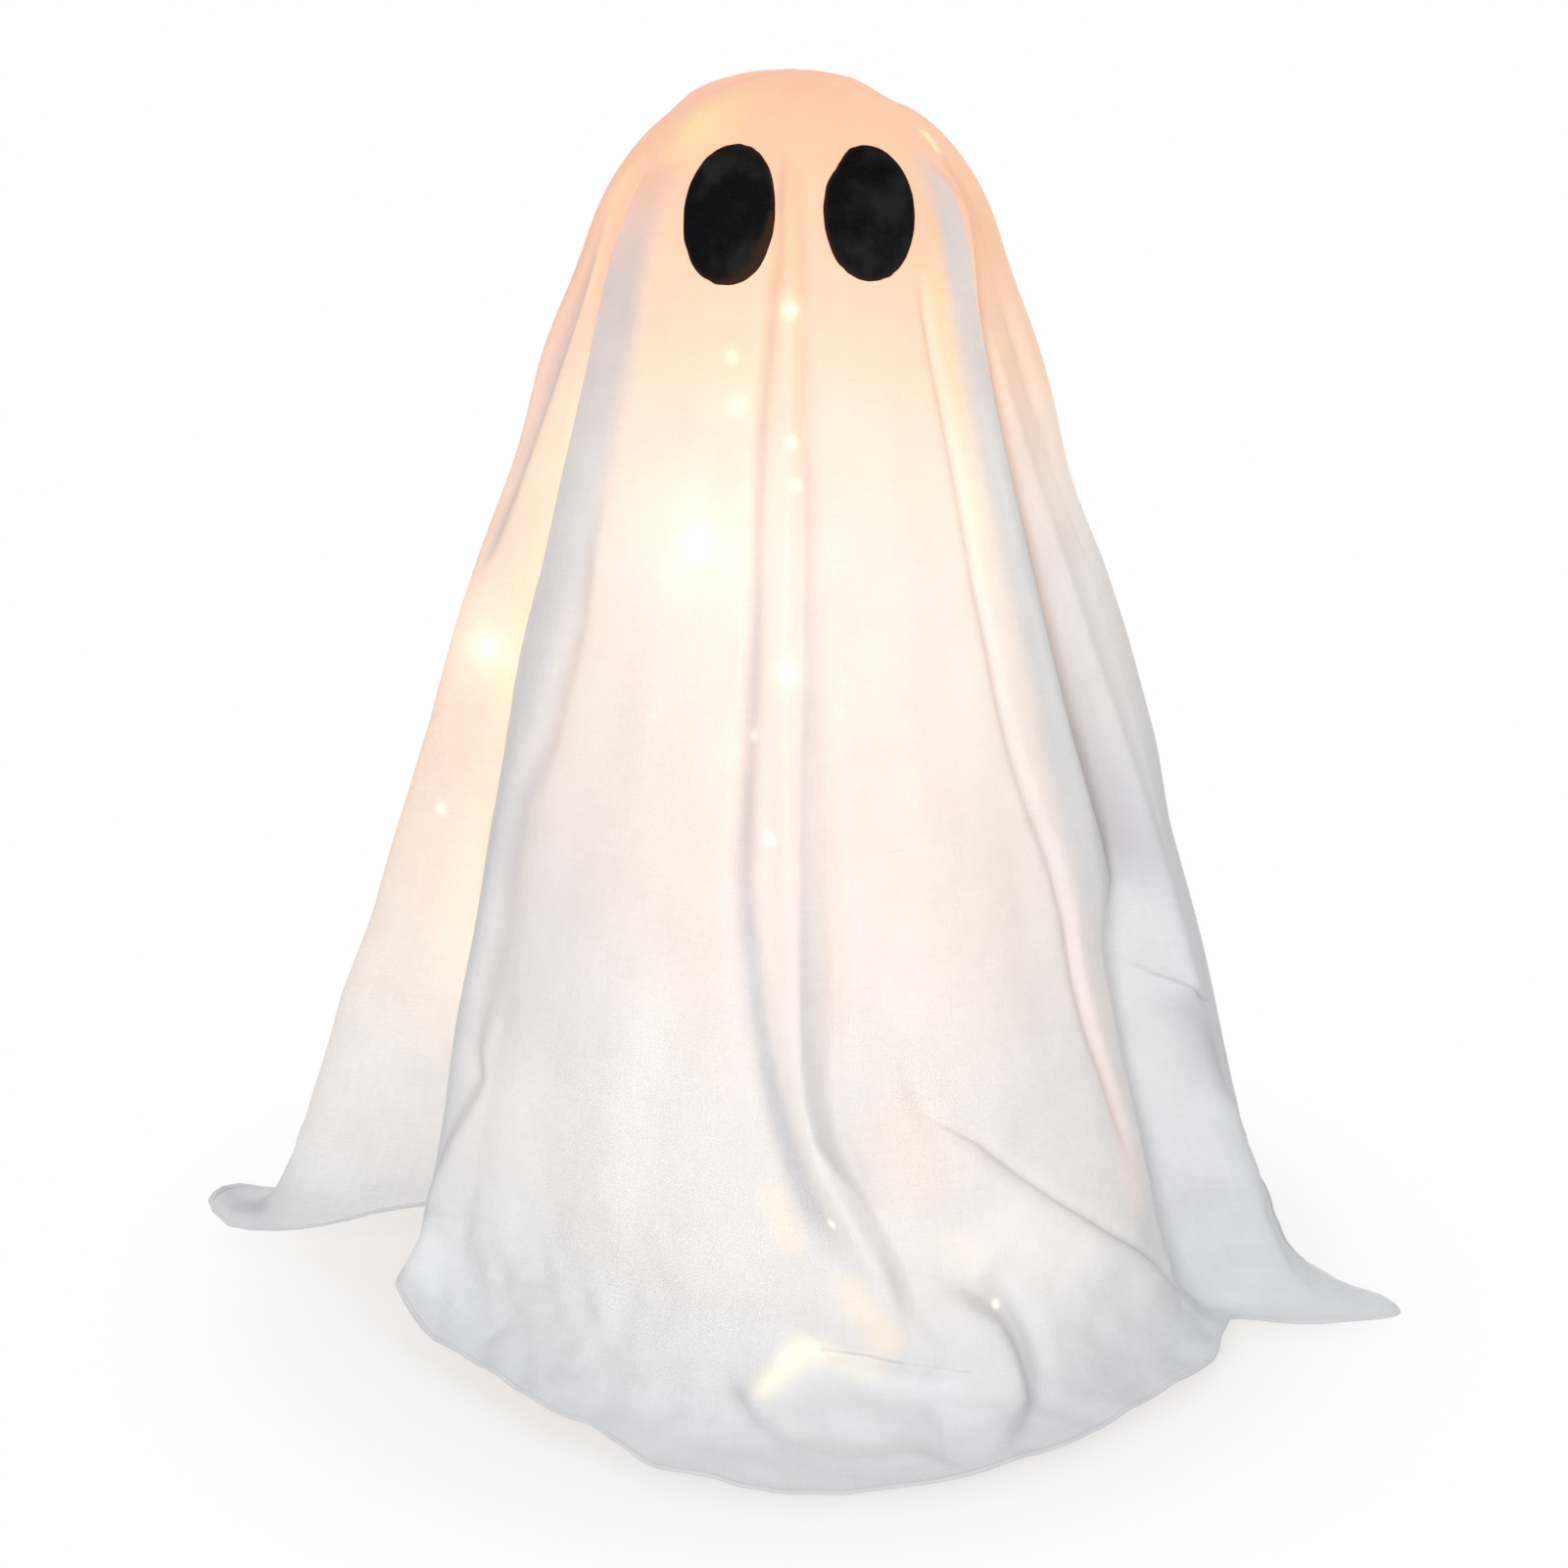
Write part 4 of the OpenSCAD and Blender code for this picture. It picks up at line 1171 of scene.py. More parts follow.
@dataclass
class GhostCover:
    """The sewn cloth cover with its hem, bound window and felt eyes."""

    shape: CoverShape
    effects: Effects
    columns: int = 400
    rows: int = 234
    window_r: float = 0.0415
    window_axis: Point = (0.0, 0.766044, 0.642788)
    # half the width and thickness of the hem's roll and of the window's tape, and the points of each
    hem_half: tuple[float, float] = (0.0014, 0.0009)
    hem_sides: int = 8
    tape_half: tuple[float, float] = (0.0042, 0.0016)
    tape_sides: int = 12
    tape_columns: int = 160
    # the felt's thickness, and the points round an eye
    felt: float = 0.0014
    eye_columns: int = 144
    # metres of the UV map per radian round the cloth
    uv_spread: float = 0.17
    # fold angle in the middle of the lit front
    lit_at: float = 276.0
    eyes: tuple[EyePatch, ...] = (
        EyePatch("felt_eye_left", "eye_left", (-0.315, -0.82, 0.512), (0.0225, 0.0350), tilt=8.0, egg=-0.05,
                 flat_at=300.0, flat_by=0.0, seed=3, frayed=0.2),
        EyePatch("felt_eye_right", "eye_right", (0.353, -0.80, 0.515), (0.0227, 0.0340), tilt=-11.5,
                 egg=-0.02, flat_at=138.0, flat_by=0.12, seed=5))
    # fold angle, drop in mm, size in mm, strength of the light of each bead that lies against the cloth
    glints: tuple[tuple[float, float, float, float], ...] = (
        (268.2, -556, 3.4, 0.55), (268.2, -556, 9, 0.10), (245, -532, 3.4, 0.3), (248.6, -510, 3.6, 0.3),
        (248.6, -510, 12, 0.06), (269.2, -495, 2.8, 0.4), (270.5, -475, 2.8, 0.4), (239, -443, 8, 0.36),
        (239, -443, 30, 0.11), (177.6, -371, 7, 0.45), (177.6, -371, 26, 0.2), (268.5, -387, 3.2, 0.7),
        (268.5, -387, 10, 0.12), (259.5, -356, 2.5, 0.3), (177.2, -279, 3, 0.4), (264.5, -308, 3, 0.5),
        (276.2, -115, 2, 0.6), (301.5, -64, 2, 0.6), (269, -46, 5, 0.12), (40, -420, 3, 0.6),
        (75, -330, 3, 0.6), (110, -470, 3, 0.6), (140, -360, 3, 0.5), (20, -260, 3, 0.5))
    # light that comes through the front: height, then red, green and blue
    light_rows: tuple[tuple[float, float, float, float], ...] = (
        (0.0, 0.0, 0.0, 0.0), (0.05, 0.08, 0.07, 0.06), (0.12, 0.17, 0.12, 0.075), (0.20, 0.23, 0.14, 0.072),
        (0.30, 0.31, 0.152, 0.06), (0.38, 0.36, 0.182, 0.055), (0.45, 0.40, 0.217, 0.084),
        (0.52, 0.41, 0.182, 0.056), (0.58, 0.42, 0.13, 0.015), (0.645, 0.42, 0.11, 0.01))
    # double cloth: the height of these strokes is the share of the light that it holds back
    veils: tuple[Crease, ...] = (
        band(LEFT_EDGE, (11, 9.5), (0.9, 0.66), (0.05, 0.12)),
        band(RIGHT_BAND, (5, 9), (0.65, 0.75), (0.12, 0.1)),
        ridge(PLEAT_LEFT, (4, 8), (0.3, 0.9), (0.05, 0.1)),
        step(PLEAT_FACE, (4, 3.5), (0.8, 0.15), (0.1, 0.1)),
        ridge(RIGHT_CREASE, (2, 3), (0.4, 0.4)),
        ridge(LEFT_PLEAT, (3, 3), (0.6, 0.5)),
    )
    # cloth in the shade of its own folds: the height is the share of its colour that gives way
    shades: tuple[Crease, ...] = (
        band(LEFT_EDGE, (9, 9.5), (0.2, 0.2), (0.05, 0.12)),
        band(LEFT_EDGE[7:], (9, 8), (0.05, 0.32), (0.3, 0.1)),
        ridge(LEFT_FOLD, (5, 5), (0.25, 0.45)),
        ridge(LEFT_FLAP, (3, 3), (0.5, 0.35)),
        ridge(LEFT_PLEAT, (2.5, 2.5), (0.4, 0.3)),
        ridge(((167.6, 40), (168.4, 28), (169.4, 15), (171.6, -3), (172.4, -10)), (9, 6), (0.5, 0.6),
            (0.1, 0.2)),
        band(RIGHT_EDGE, (3, 5), (0.10, 0.02), (0.06, 0.2)),
        ridge(tuple((a + 1.2, d) for a, d in RIGHT_EDGE), (3.5, 9), (0.55, 0.16), (0.06, 0.15)),
        ridge(((348, -200), (349, -176), (349.6, -153), (350, -125)), (7, 6), (0.45, 0.35)),
        ridge(RIGHT_CREASE, (2.5, 4), (0.18, 0.12), (0.05, 0.1)),
        ridge(PLEAT_LEFT, (2.5, 5), (0.22, 0.42), (0.03, 0.1)),
        step(PLEAT_FACE, (4, 3.5), (0.34, 0.05), (0.1, 0.1)),
        ridge(ROLL_EDGE, (8, 8), (0.24, 0.3)),
        ridge(ROLL_FOOT, (5, 4.5), (0.2, 0.34), (0.2, 0.1)),
        ridge(PLEAT_RIGHT[-7:], (3, 3.5), (0.2, 0.3)),
        ridge(((266, -8), (270.5, -15), (278, -20), (285.6, -6), (293, -7)), (8, 8), (0.14, 0.14)),
        ridge(((348, -540), (346, -480), (345, -420), (344.5, -370), (344.5, -330), (346, -290),
            (347.4, -240)), (13, 13), (0.52, 0.48), (0.2, 0.15)),
        ridge(((308, -10), (318, 5), (330, 2)), (22, 22), (0.12, 0.12)),
        ridge(((217.6, -8), (217.6, 9)), (5, 5), (0.12, 0.10)),
        ridge(((233.5, -14), (231.9, 3)), (7, 7), (0.18, 0.14)),
        ridge(((246, -6), (241, 18)), (7, 7), (0.12, 0.10)),
    )
    # double cloth that the warm light doesn't reach: the height is the share of the painted warm light that
    # goes
    cools: tuple[Crease, ...] = (
        band(LEFT_EDGE, (11, 9.5), (0.4, 0.75), (0.05, 0.12)),
        band(RIGHT_BAND, (5, 9), (0.8, 0.5), (0.12, 0.1)),
    )
    # crease lines darkened with painted shade, with their width in mm and their strength
    pressed: tuple[tuple[Line, float, float], ...] = (
        (ROLL_TUCK, 0.8, 0.7), (SLANT, 1.2, 0.4), (WING_WRINKLE, 1.0, 0.55), (RIGHT_CREASE[1:12], 0.8, 0.2))
    # light that the string throws into single folds, with its colour
    lights: tuple[tuple[Crease, Colour], ...] = (
        # the roll on the ground: its bright corner, the strip under its tuck and the lit cloth beside it
        (ridge(((264, -20), (264.9, -24), (267.1, -34), (269.6, -44), (272, -55), (273, -60)), (6, 8),
            (0.24, 0.30), (0.25, 0.2)), (1.0, 0.8, 0.1)),
        (ridge(((270, -52), (273.5, -49), (277.1, -42), (281.2, -38), (286, -33)), (8, 6), (0.20, 0.12),
            (0.2, 0.4)), (1.0, 0.66, 0.25)),
        (ridge(((275.6, -37), (282.4, -31), (289.1, -25), (294.8, -25)), (8, 7), (0.05, 0.07), (0.3, 0.2)),
            (0.95, 1.0, 1.1)),
        # warm light at the foot of the middle pleat and on the right
        (ridge(((265.5, -145), (266.5, -128), (268.2, -116), (270.1, -103), (272, -92)), (7, 8),
            (0.10, 0.12), (0.3, 0.3)), (1.0, 0.25, -0.4)),
        (ridge(((276, -96), (277.9, -84), (281.1, -67), (283.9, -54), (286.2, -43)), (9, 12), (0.10, 0.16),
            (0.3, 0.15)), (1.0, 0.3, -0.4)),
        (ridge(((292, -118), (297, -96), (301, -80)), (12, 12), (0.08, 0.10), (0.4, 0.2)), (1.0, 0.6, 0.1)),
        (ridge(((300, -125), (312, -85), (322, -50)), (30, 26), (0.12, 0.12), (0.3, 0.3)),
            (1.0, 0.96, 0.92)),
        (ridge(((329.5, -280), (330.2, -218), (331.4, -185), (333.2, -150), (333.4, -125), (332.4, -100),
            (332.4, -72)), (6, 11), (0.08, 0.12), (0.2, 0.1)), (1.0, 0.3, 0.15)),
        (ridge(RIGHT_CREASE, (2.5, 3), (0.07, 0.05), (0.1, 0.1)), (1.0, 0.45, 0.25)),
        (ridge(((284, -185), (290, -145), (296, -108)), (28, 28), (0.05, 0.05), (0.3, 0.3)),
            (1.0, 0.1, -0.5)),
        # the right cheek, less lit than the brow
        (ridge(((345, -632), (338, -602), (336, -572), (334, -545)), (9, 9), (0.11, 0.07), (0.2, 0.3)),
            (-1.0, -0.25, 0.0)),
        # the pleat's two sides, where only the reddest light comes through
        (ridge(PLEAT_LEFT[:13], (5, 6), (0.08, 0.06), (0.04, 0.2)), (-0.1, -0.8, -1.0)),
        (ridge(PLEAT_RIGHT[:13], (6, 7), (0.07, 0.06), (0.05, 0.2)), (-0.1, -0.8, -1.0)),
        # cool daylight on the front left, its low corner and the right wing
        (ridge(((215, -190), (212, -110), (214, -30)), (26, 26), (0.08, 0.10), (0.3, 0.3)),
            (0.93, 0.98, 1.0)),
        (ridge(((194, -60), (198, -32), (206, -18), (219, -14)), (18, 20), (0.12, 0.06), (0.2, 0.3)),
            (0.96, 1.0, 1.03)),
        (ridge(((236, -270), (238, -170), (238, -60)), (45, 45), (0.05, 0.05), (0.3, 0.3)),
            (0.9, 0.98, 1.0)),
        (ridge(((359, -440), (357, -391), (356, -330), (357, -240)), (17, 18), (0.10, 0.06), (0.3, 0.3)),
            (0.9, 0.95, 1.0)),
        (ridge(((342, -560), (338.5, -500), (337, -420), (336.5, -340), (337.5, -280)), (7, 8),
            (0.04, 0.06), (0.3, 0.3)), (0.6, 1.0, 1.1)),
        # yellow light under the head's cloth and on the left wing
        (ridge(((362, -650), (357.5, -633)), (3, 3), (0.5, 0.4)), (0.9, 0.7, 0.2)),
        (ridge(((327, -590), (328.8, -560), (329.2, -533), (328.6, -504), (327.5, -477), (326.5, -440),
            (326, -400)), (7, 5), (0.09, 0.06)), (0.4, 0.3, -0.7)),
        (ridge(((178, -628), (187, -640), (205, -650), (230, -655), (246, -653)), (26, 22), (0.11, 0.05),
            (0.3, 0.4)), (0.0, 1.0, -0.2)),
        (ridge(((173, -634), (177, -606), (180, -580), (177.5, -560), (178.5, -535)), (8, 7), (0.10, 0.07),
            (0.2, 0.3)), (0.5, 1.0, 0.4)),
        # painted shade: less light on the wing's side of its pleat
        (band(LEFT_PLEAT, (5, 5), (0.10, 0.10), (0.2, 0.2)), (-0.6, -0.7, -0.4)),
        (ridge(((184, -560), (183.5, -480), (182.5, -400), (181.5, -300), (181.5, -200), (182, -120)),
            (8, 10), (0.10, 0.12)), (1.0, 0.75, 0.4)),
        (ridge(((173.2, -313), (173.5, -244), (173.2, -185), (172.5, -122), (172, -20)), (34, 34),
            (0.02, 0.06), (0.2, 0.1)), (1.0, 0.96, 0.93)),
    )

    def _columns(self) -> np.ndarray:
        """Spaces the columns closer at the front than at the back, and closest at the two edges.

        Returns:
            The columns' fold angles.
        """
        fine = np.linspace(0, 360, 3601)
        dense = 1.0 + smooth_step(np.cos(np.radians(fine - 270)), -0.4, 0.4)
        for edge, more in ((190, 2.2), (344, 2.2), (280, 0.5)):
            dense += more * np.exp(-((fine - edge) / 7) ** 2)
        share = np.cumsum(dense)
        share = (share - share[0]) / (share[-1] - share[0])
        return np.interp(np.arange(self.columns) / self.columns, share, fine)

    def glow(self, angle: np.ndarray, drop: np.ndarray, points: np.ndarray) -> np.ndarray:
        """Light that comes through the cloth: a colour by height, strongest at the front, less where the
        cloth stands far from the string or lies double, and more where the string touches it.

        Args:
            angle: fold angles.
            drop: drops in metres.
            points: the points there.

        Returns:
            Linear colours.
        """
        rows = np.array(self.light_rows)
        z = points[..., 2]
        colour = np.stack([np.interp(z, rows[:, 0], c) for c in rows[:, 1:].T], -1)
        # the string's cone is 0.215 m from the axis at the ground, and 0.22 m nearer per metre of height
        away = np.hypot(points[..., 0], points[..., 1]) - (0.215 - 0.22 * z)
        turned = turn_from(self.lit_at, angle)
        left = hill(-turned, (60, 100), (112, 160))
        right = hill(turned, (58, 72), (105, 165))
        low = smooth_step(-z, -0.48, -0.22)
        dim = 1 - 0.75 * smooth_step(away, 0.0, 0.09) * (1 - left)
        aside = np.where(turned > -88, smooth_step(np.abs(turned), 18, 70), smooth_step(-turned, 112, 160))
        dim *= (1 - 0.45 * low * aside) * (1 - 0.85 * right * low)
        wing = self._wing(turned) * smooth_step(z, 0.25, 0.40)
        colour *= 1 - wing[..., None] * np.array([0.05, 0.2, 0.3])
        grey = colour.mean(-1, keepdims=True) * np.array([1.1, 1.0, 0.9])
        colour += (0.5 * right * smooth_step(-z, -0.52, -0.40))[..., None] * (grey - colour)
        colour *= (dim * self._clear(self.veils, angle, drop, points))[..., None]
        scale = per_degree(points)
        for light, tint in self.lights:
            colour += light.strength(angle, drop, scale)[..., None] * np.array(tint)
        return colour

    @staticmethod
    def _wing(turned: np.ndarray) -> np.ndarray:
        """1 on the left wing and 0 elsewhere, by the turn from the lit front."""
        return hill(-turned, (84, 92), (112, 160))

    @staticmethod
    def _clear(strokes: Sequence[Crease], angle: np.ndarray, drop: np.ndarray,
               points: np.ndarray) -> np.ndarray:
        """What strokes laid over each other leave free: the product of one minus each stroke's strength.

        Args:
            strokes: the strokes.
            angle: fold angles.
            drop: drops in metres.
            points: the points there.

        Returns:
            Shares from 0 to 1.
        """
        scale = per_degree(points)
        clear = np.ones(angle.shape)
        for stroke in strokes:
            clear *= np.clip(1 - stroke.strength(angle, drop, scale), 0, 1)
        return clear

    def painted_warm_light(self, angle: np.ndarray, drop: np.ndarray, points: np.ndarray) -> np.ndarray:
        """Painted warm light in the cloth's colour: full on the head, half on the left wing, little where
        double.

        Args:
            angle: fold angles.
            drop: drops in metres.
            points: the points there.

        Returns:
            Shares from 0 to 1.
        """
        z = points[..., 2]
        wing = self._wing(turn_from(self.lit_at, angle))
        warm_lit = np.maximum(smooth_step(z, 0.41, 0.58), 0.55 * wing * smooth_step(z, 0.10, 0.30))
        return warm_lit * self._clear(self.cools, angle, drop, points)

    def _without_window(self, points: np.ndarray, faces: np.ndarray) -> np.ndarray:
        """Leaves out the faces in the round window behind the head.

        Args:
            points: the cloth's points.
            faces: its faces.

        Returns:
            The faces that stay.
        """
        axis = np.array(self.window_axis)
        middle = points[faces].mean(1) - (0.0, 0.0, self.shape.head_z)
        ahead = middle @ axis
        off = np.linalg.norm(middle - ahead[:, None] * axis, axis=1)
        return faces[(off > self.window_r) | (ahead < 0)]

    def build(self) -> None:
        """Makes the cloth, its hem, its eyes and the binding of its window."""
        angle = self._columns()
        top, hem = self.shape.span(angle)
        share = np.linspace(0, 1, self.rows + 1)[1:]
        share -= 0.035 * np.sin(2 * np.pi * share)
        drop = top + (hem - top) * share[:, None]
        angles = np.broadcast_to(angle, drop.shape)
        grid = self.shape.points(angles, drop)
        tip = np.array([[0.0, 0.0, self.shape.head_z + self.shape.head_r]])
        points = np.concatenate([tip, grid.reshape(-1, 3)])
        faces = self._without_window(points, grid_faces(self.rows, self.columns, True, 1))
        faces = [*fan_faces(self.columns, 1, 0).tolist(), *faces.tolist()]
        cloth = mesh_piece("ghost_cloth", points, faces, "cover", ["ghost_cover"])
        shade = 1 - self._clear(self.shades, angles, drop, grid)
        set_value(cloth.data, "glow", with_tip(self.glow(angles, drop, grid).reshape(-1, 3)))
        set_value(cloth.data, "painted_warm_light", with_tip(self.painted_warm_light(angles, drop, grid).ravel()))
        set_value(cloth.data, "shade", with_tip(shade.ravel()))
        uv = np.stack([np.radians(angles) * self.uv_spread, drop], -1)
        set_uv(cloth.data, with_tip(uv.reshape(-1, 2)))
        beads = [(self.shape.points(np.array([a]), np.array([d * MM]))[0], size * MM, light)
                 for a, d, size, light in self.glints]
        material = ClothFinish().material(self.effects, beads, self._crease_shade_pieces())
        dress(cloth, material)
        hem_piece = self._hem(grid, shade[-1], material)
        # cut as a fan: 2.0 m along the hem, up to 0.77 m deep
        self._area(cloth)
        felt = FeltFinish().material(self.effects)
        for eye in self.eyes:
            self._eye(eye, felt)
        self._binding()

    def _crease_shade_pieces(self) -> list[tuple[np.ndarray, np.ndarray, float, float]]:
        """Cuts the lines of painted crease shade into straight pieces that fade towards each line's ends.

        Returns:
            The start, run, width and strength of each piece, in the UV plane.
        """
        pieces = []
        for line, width, strength in self.pressed:
            knots = np.array(line, dtype=float)
            level = np.zeros(len(knots))
            places = np.stack([np.radians(knots[:, 0]) * self.uv_spread, knots[:, 1] * MM, level], -1)
            for k in range(len(places) - 1):
                fade = min(1.0, 0.45 + 0.4 * min(k, len(places) - 2 - k))
                pieces.append((places[k], places[k + 1] - places[k], width * MM, strength * fade))
        return pieces

    @staticmethod
    def _area(cloth: bpy.types.Object) -> float:
        """Measures a cloth.

        Args:
            cloth: the piece.

        Returns:
            The area of its faces in square metres.
        """
        areas = np.empty(len(cloth.data.polygons))
        cloth.data.polygons.foreach_get("area", areas)
        LOG.info("cloth area %.3f m2", areas.sum())
        return round(float(areas.sum()), 3)

    def _hem(self, grid: np.ndarray, shade: np.ndarray, material: bpy.types.Material) -> bpy.types.Object:
        """The rolled hem: a flat oval carried along the cloth's last row.

        Args:
            grid: the cloth's points, row after row.
            shade: the shade of the last row.
            material: the cloth's material.

        Returns:
            The hem.
        """
        path = grid[-1]
        out = unit(grid[-1] - grid[-3])
        run = unit(np.roll(path, -1, 0) - np.roll(path, 1, 0))
        up = unit(np.cross(out, run))
        ring = tube_points(path, out, up, self.hem_half, self.hem_sides)
        ring[..., 2] = np.maximum(ring[..., 2], 0.0008)
        seam = np.append(ring[:, 0], ring[:1, 0], 0)
        far = np.concatenate([[0.0], np.cumsum(np.linalg.norm(np.diff(seam, axis=0), axis=1))])
        hem = closed_tube("cover_hem", ring, far, 0.01)
        dark = np.zeros((len(hem.data.vertices), 3))
        set_value(hem.data, "glow", dark)
        set_value(hem.data, "painted_warm_light", dark[:, 0])
        set_value(hem.data, "shade", np.repeat(np.append(shade, shade[0]), self.hem_sides))
        dress(hem, material)
        return hem

    def _eye(self, eye: EyePatch, felt: bpy.types.Material) -> None:
        """A felt eye: an oval patch laid on the cloth, thick inside and tucked down at its cut edge.

        Outline = (half width x cos(turn)^0.92 x (1 + egg x sin(turn)), half height x sin(turn)^0.96), pulled
        in at one place and roughened by seeded waves. Each place is carried on to the head by its distance
        and direction.

        Args:
            eye: the patch.
            felt: its material.
        """
        turn = np.linspace(0, 2 * np.pi, self.eye_columns, endpoint=False)
        dice = np.random.default_rng(eye.seed)
        rough = sum(np.sin(turn * k + dice.uniform(0, TURN)) * dice.uniform(0.2, 1) * 0.008 / k ** 0.6
                    for k in range(3, 30))
        gap = turn_from(eye.flat_at, np.degrees(turn))
        size = (1 + rough) * (1 - eye.flat_by * np.exp(-(gap / 30) ** 2))
        cos, sin = np.cos(turn), np.sin(turn)
        x = eye.half[0] * np.sign(cos) * np.abs(cos) ** 0.92 * (1 + eye.egg * sin) * size
        y = eye.half[1] * np.sign(sin) * np.abs(sin) ** 0.96 * size
        lean = math.radians(eye.tilt)
        x, y = x * math.cos(lean) - y * math.sin(lean), x * math.sin(lean) + y * math.cos(lean)
        # rings from the middle outwards, the last five over the cut edge and into the cloth
        share = np.concatenate([np.linspace(0.06, 0.90, 13), [0.94, 0.97, 0.99, 1.0, 1.004]])
        thick = np.concatenate([np.full(13, self.felt), [0.00135, 0.0012, 0.0009, 0.0004, -0.0006]])
        toward = unit(np.array(eye.toward))
        right = unit(np.cross((0.0, 0.0, 1.0), toward))
        up = np.cross(toward, right)
        span = np.hypot(x, y)
        far = share[:, None] * span / self.shape.head_r
        course = (x[:, None] * right + y[:, None] * up) / span[:, None]
        course = np.broadcast_to(course, (len(share), *course.shape))
        direction = np.cos(far)[..., None] * toward + np.sin(far)[..., None] * course
        angle, drop = self.shape.locate(direction)
        grid = self.shape.points(angle, drop) + direction * thick[:, None, None]
        centre_a, centre_d = self.shape.locate(toward[None])
        tip = self.shape.points(centre_a, centre_d) + toward * self.felt
        points = np.concatenate([tip, grid.reshape(-1, 3)])
        faces = grid_faces(len(share), self.eye_columns, True, 1)
        faces = [*fan_faces(self.eye_columns, 1, 0).tolist(), *faces.tolist()]
        patch = mesh_piece(eye.name, points, faces, "cover", [eye.node])
        worn = eye.frayed * np.exp(-((np.degrees(turn) - 320) / 45) ** 2)
        rim = smooth_step(share[:, None] + worn * share[:, None], 0.9, 1.05).ravel()
        set_value(patch.data, "rim", np.concatenate([[0.0], rim]))
        dress(patch, felt)

    def _binding(self) -> None:
        """Tape round the window: a flat oval carried round a circle on the head, over the cloth's edge."""
        axis = np.array(self.window_axis)
        side = np.array([1.0, 0.0, 0.0])
        across = np.cross(axis, side)
        turn = np.linspace(0, 2 * np.pi, self.tape_columns + 1)[:-1, None]
        outward = np.cos(turn) * side + np.sin(turn) * across
        r = self.window_r + 0.0005
        up = math.sqrt(self.shape.head_r ** 2 - r ** 2)
        path = outward * r + axis * up + (0.0, 0.0, self.shape.head_z)
        normal = unit(outward * r + axis * up)
        flat = unit(outward - (outward * normal).sum(1, keepdims=True) * normal)
        ring = tube_points(path, flat, normal, self.tape_half, self.tape_sides)
        far = np.linspace(0, 2 * np.pi * r, len(ring) + 1)
        tape = closed_tube("window_tape", ring, far, 0.017, ["window_binding"])
        dress(tape, TapeFinish().material(self.effects))


# The stand and the solar cap

@dataclass
class DressedNodes:
    """Solid pieces that keep their own shape and get a finish."""

    finish: SolidFinish
    nodes: tuple[str, ...]

    def dress(self, effects: Effects) -> None:
        """Gives every node the finish.

        Args:
            effects: the shared node groups.
        """
        material = self.finish.material(effects)
        for name in self.nodes:
            dress(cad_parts[name], material)
            LOG.info("%s: %s", name, self.finish.name)


@dataclass
class Stand:
    """The wire stand with its globe, hub and string of lights, and the cap's plain mouldings and metal."""

    parts: tuple[DressedNodes, ...] = (
        # the globe is no lamp: its glow is painted light from inside it
        DressedNodes(
            SolidFinish("globe", (0.86, 0.83, 0.77), (0.80, 0.76, 0.69), 0.42, grain=45, bump=0.05,
                wear=0.06, coat=0.1, light=(0.55, 0.36, 0.17)),
            ("globe_shell",)),
        DressedNodes(
            SolidFinish("moulding_white", (0.70, 0.70, 0.68), (0.62, 0.62, 0.60), 0.48, grain=90, bump=0.1),
            ("crown_hub", "neck_nut")),
        DressedNodes(
            SolidFinish("rubber", (0.025, 0.025, 0.027), (0.05, 0.05, 0.05), 0.75, grain=140, bump=0.2),
            ("string_gland", "head_lead", "foot_rear_right", "foot_rear_left", "foot_front_left",
             "foot_front_right")),
        DressedNodes(
            SolidFinish("copper", (0.75, 0.36, 0.18), (0.60, 0.28, 0.14), 0.3, 1.0, 300, 0.1, 0.1),
            ("led_wire",)),
        DressedNodes(
            SolidFinish("bead", (0.9, 0.85, 0.7), (0.85, 0.78, 0.6), 0.25, grain=400, bump=0.05, wear=0.0,
                coat=0.5, light=(1.0, 0.78, 0.42)),
            ("led_beads",)),
        DressedNodes(
            SolidFinish("clip", (0.62, 0.63, 0.64), (0.52, 0.53, 0.54), 0.4, grain=200, bump=0.08),
            ("string_clips", "hoop_clips")),
        DressedNodes(
            SolidFinish("wire", (0.60, 0.61, 0.62), (0.50, 0.51, 0.52), 0.38, grain=220, bump=0.22,
                wear=0.2, coat=0.3),
            ("rib_rear_right", "rib_rear_left", "rib_front_left", "rib_front_right", "hoop_upper",
             "hoop_middle", "hoop_lower")),
        DressedNodes(
            SolidFinish("steel", (0.62, 0.62, 0.63), (0.50, 0.50, 0.51), 0.28, 1.0, 260, 0.08, 0.15),
            ("rib_screws", "bezel_screws", "board_screws", "floor_screws", "battery_spring")),
        DressedNodes(
            SolidFinish("moulding_dark", (0.030, 0.031, 0.034), (0.045, 0.046, 0.05), 0.45, grain=130,
                bump=0.16, wear=0.12),
            ("cap_housing", "bezel_ring", "cap_floor", "battery_tray", "mode_switch")),
        DressedNodes(
            SolidFinish("gasket", (0.20, 0.21, 0.22), (0.15, 0.16, 0.17), 0.8, grain=180, bump=0.2),
            ("cap_gasket",)),
        DressedNodes(
            SolidFinish("battery_plate", (0.72, 0.70, 0.62), (0.60, 0.58, 0.52), 0.3, 1.0, 240, 0.08, 0.1),
            ("battery_plate",)),
        DressedNodes(
            SolidFinish("lamp_led", (0.85, 0.70, 0.20), (0.80, 0.62, 0.15), 0.3, grain=300, bump=0.05,
                wear=0.0, coat=0.4, light=(0.9, 0.62, 0.25)),
            ("lamp_leds",)),
        DressedNodes(
            SolidFinish("button", (0.36, 0.05, 0.04), (0.28, 0.04, 0.035), 0.5, grain=160, bump=0.1,
                wear=0.1),
            ("power_button",)),
    )

    def dress(self, effects: Effects) -> None:
        """Gives every solid piece its finish.

        Args:
            effects: the shared node groups.
        """
        for part in self.parts:
            part.dress(effects)


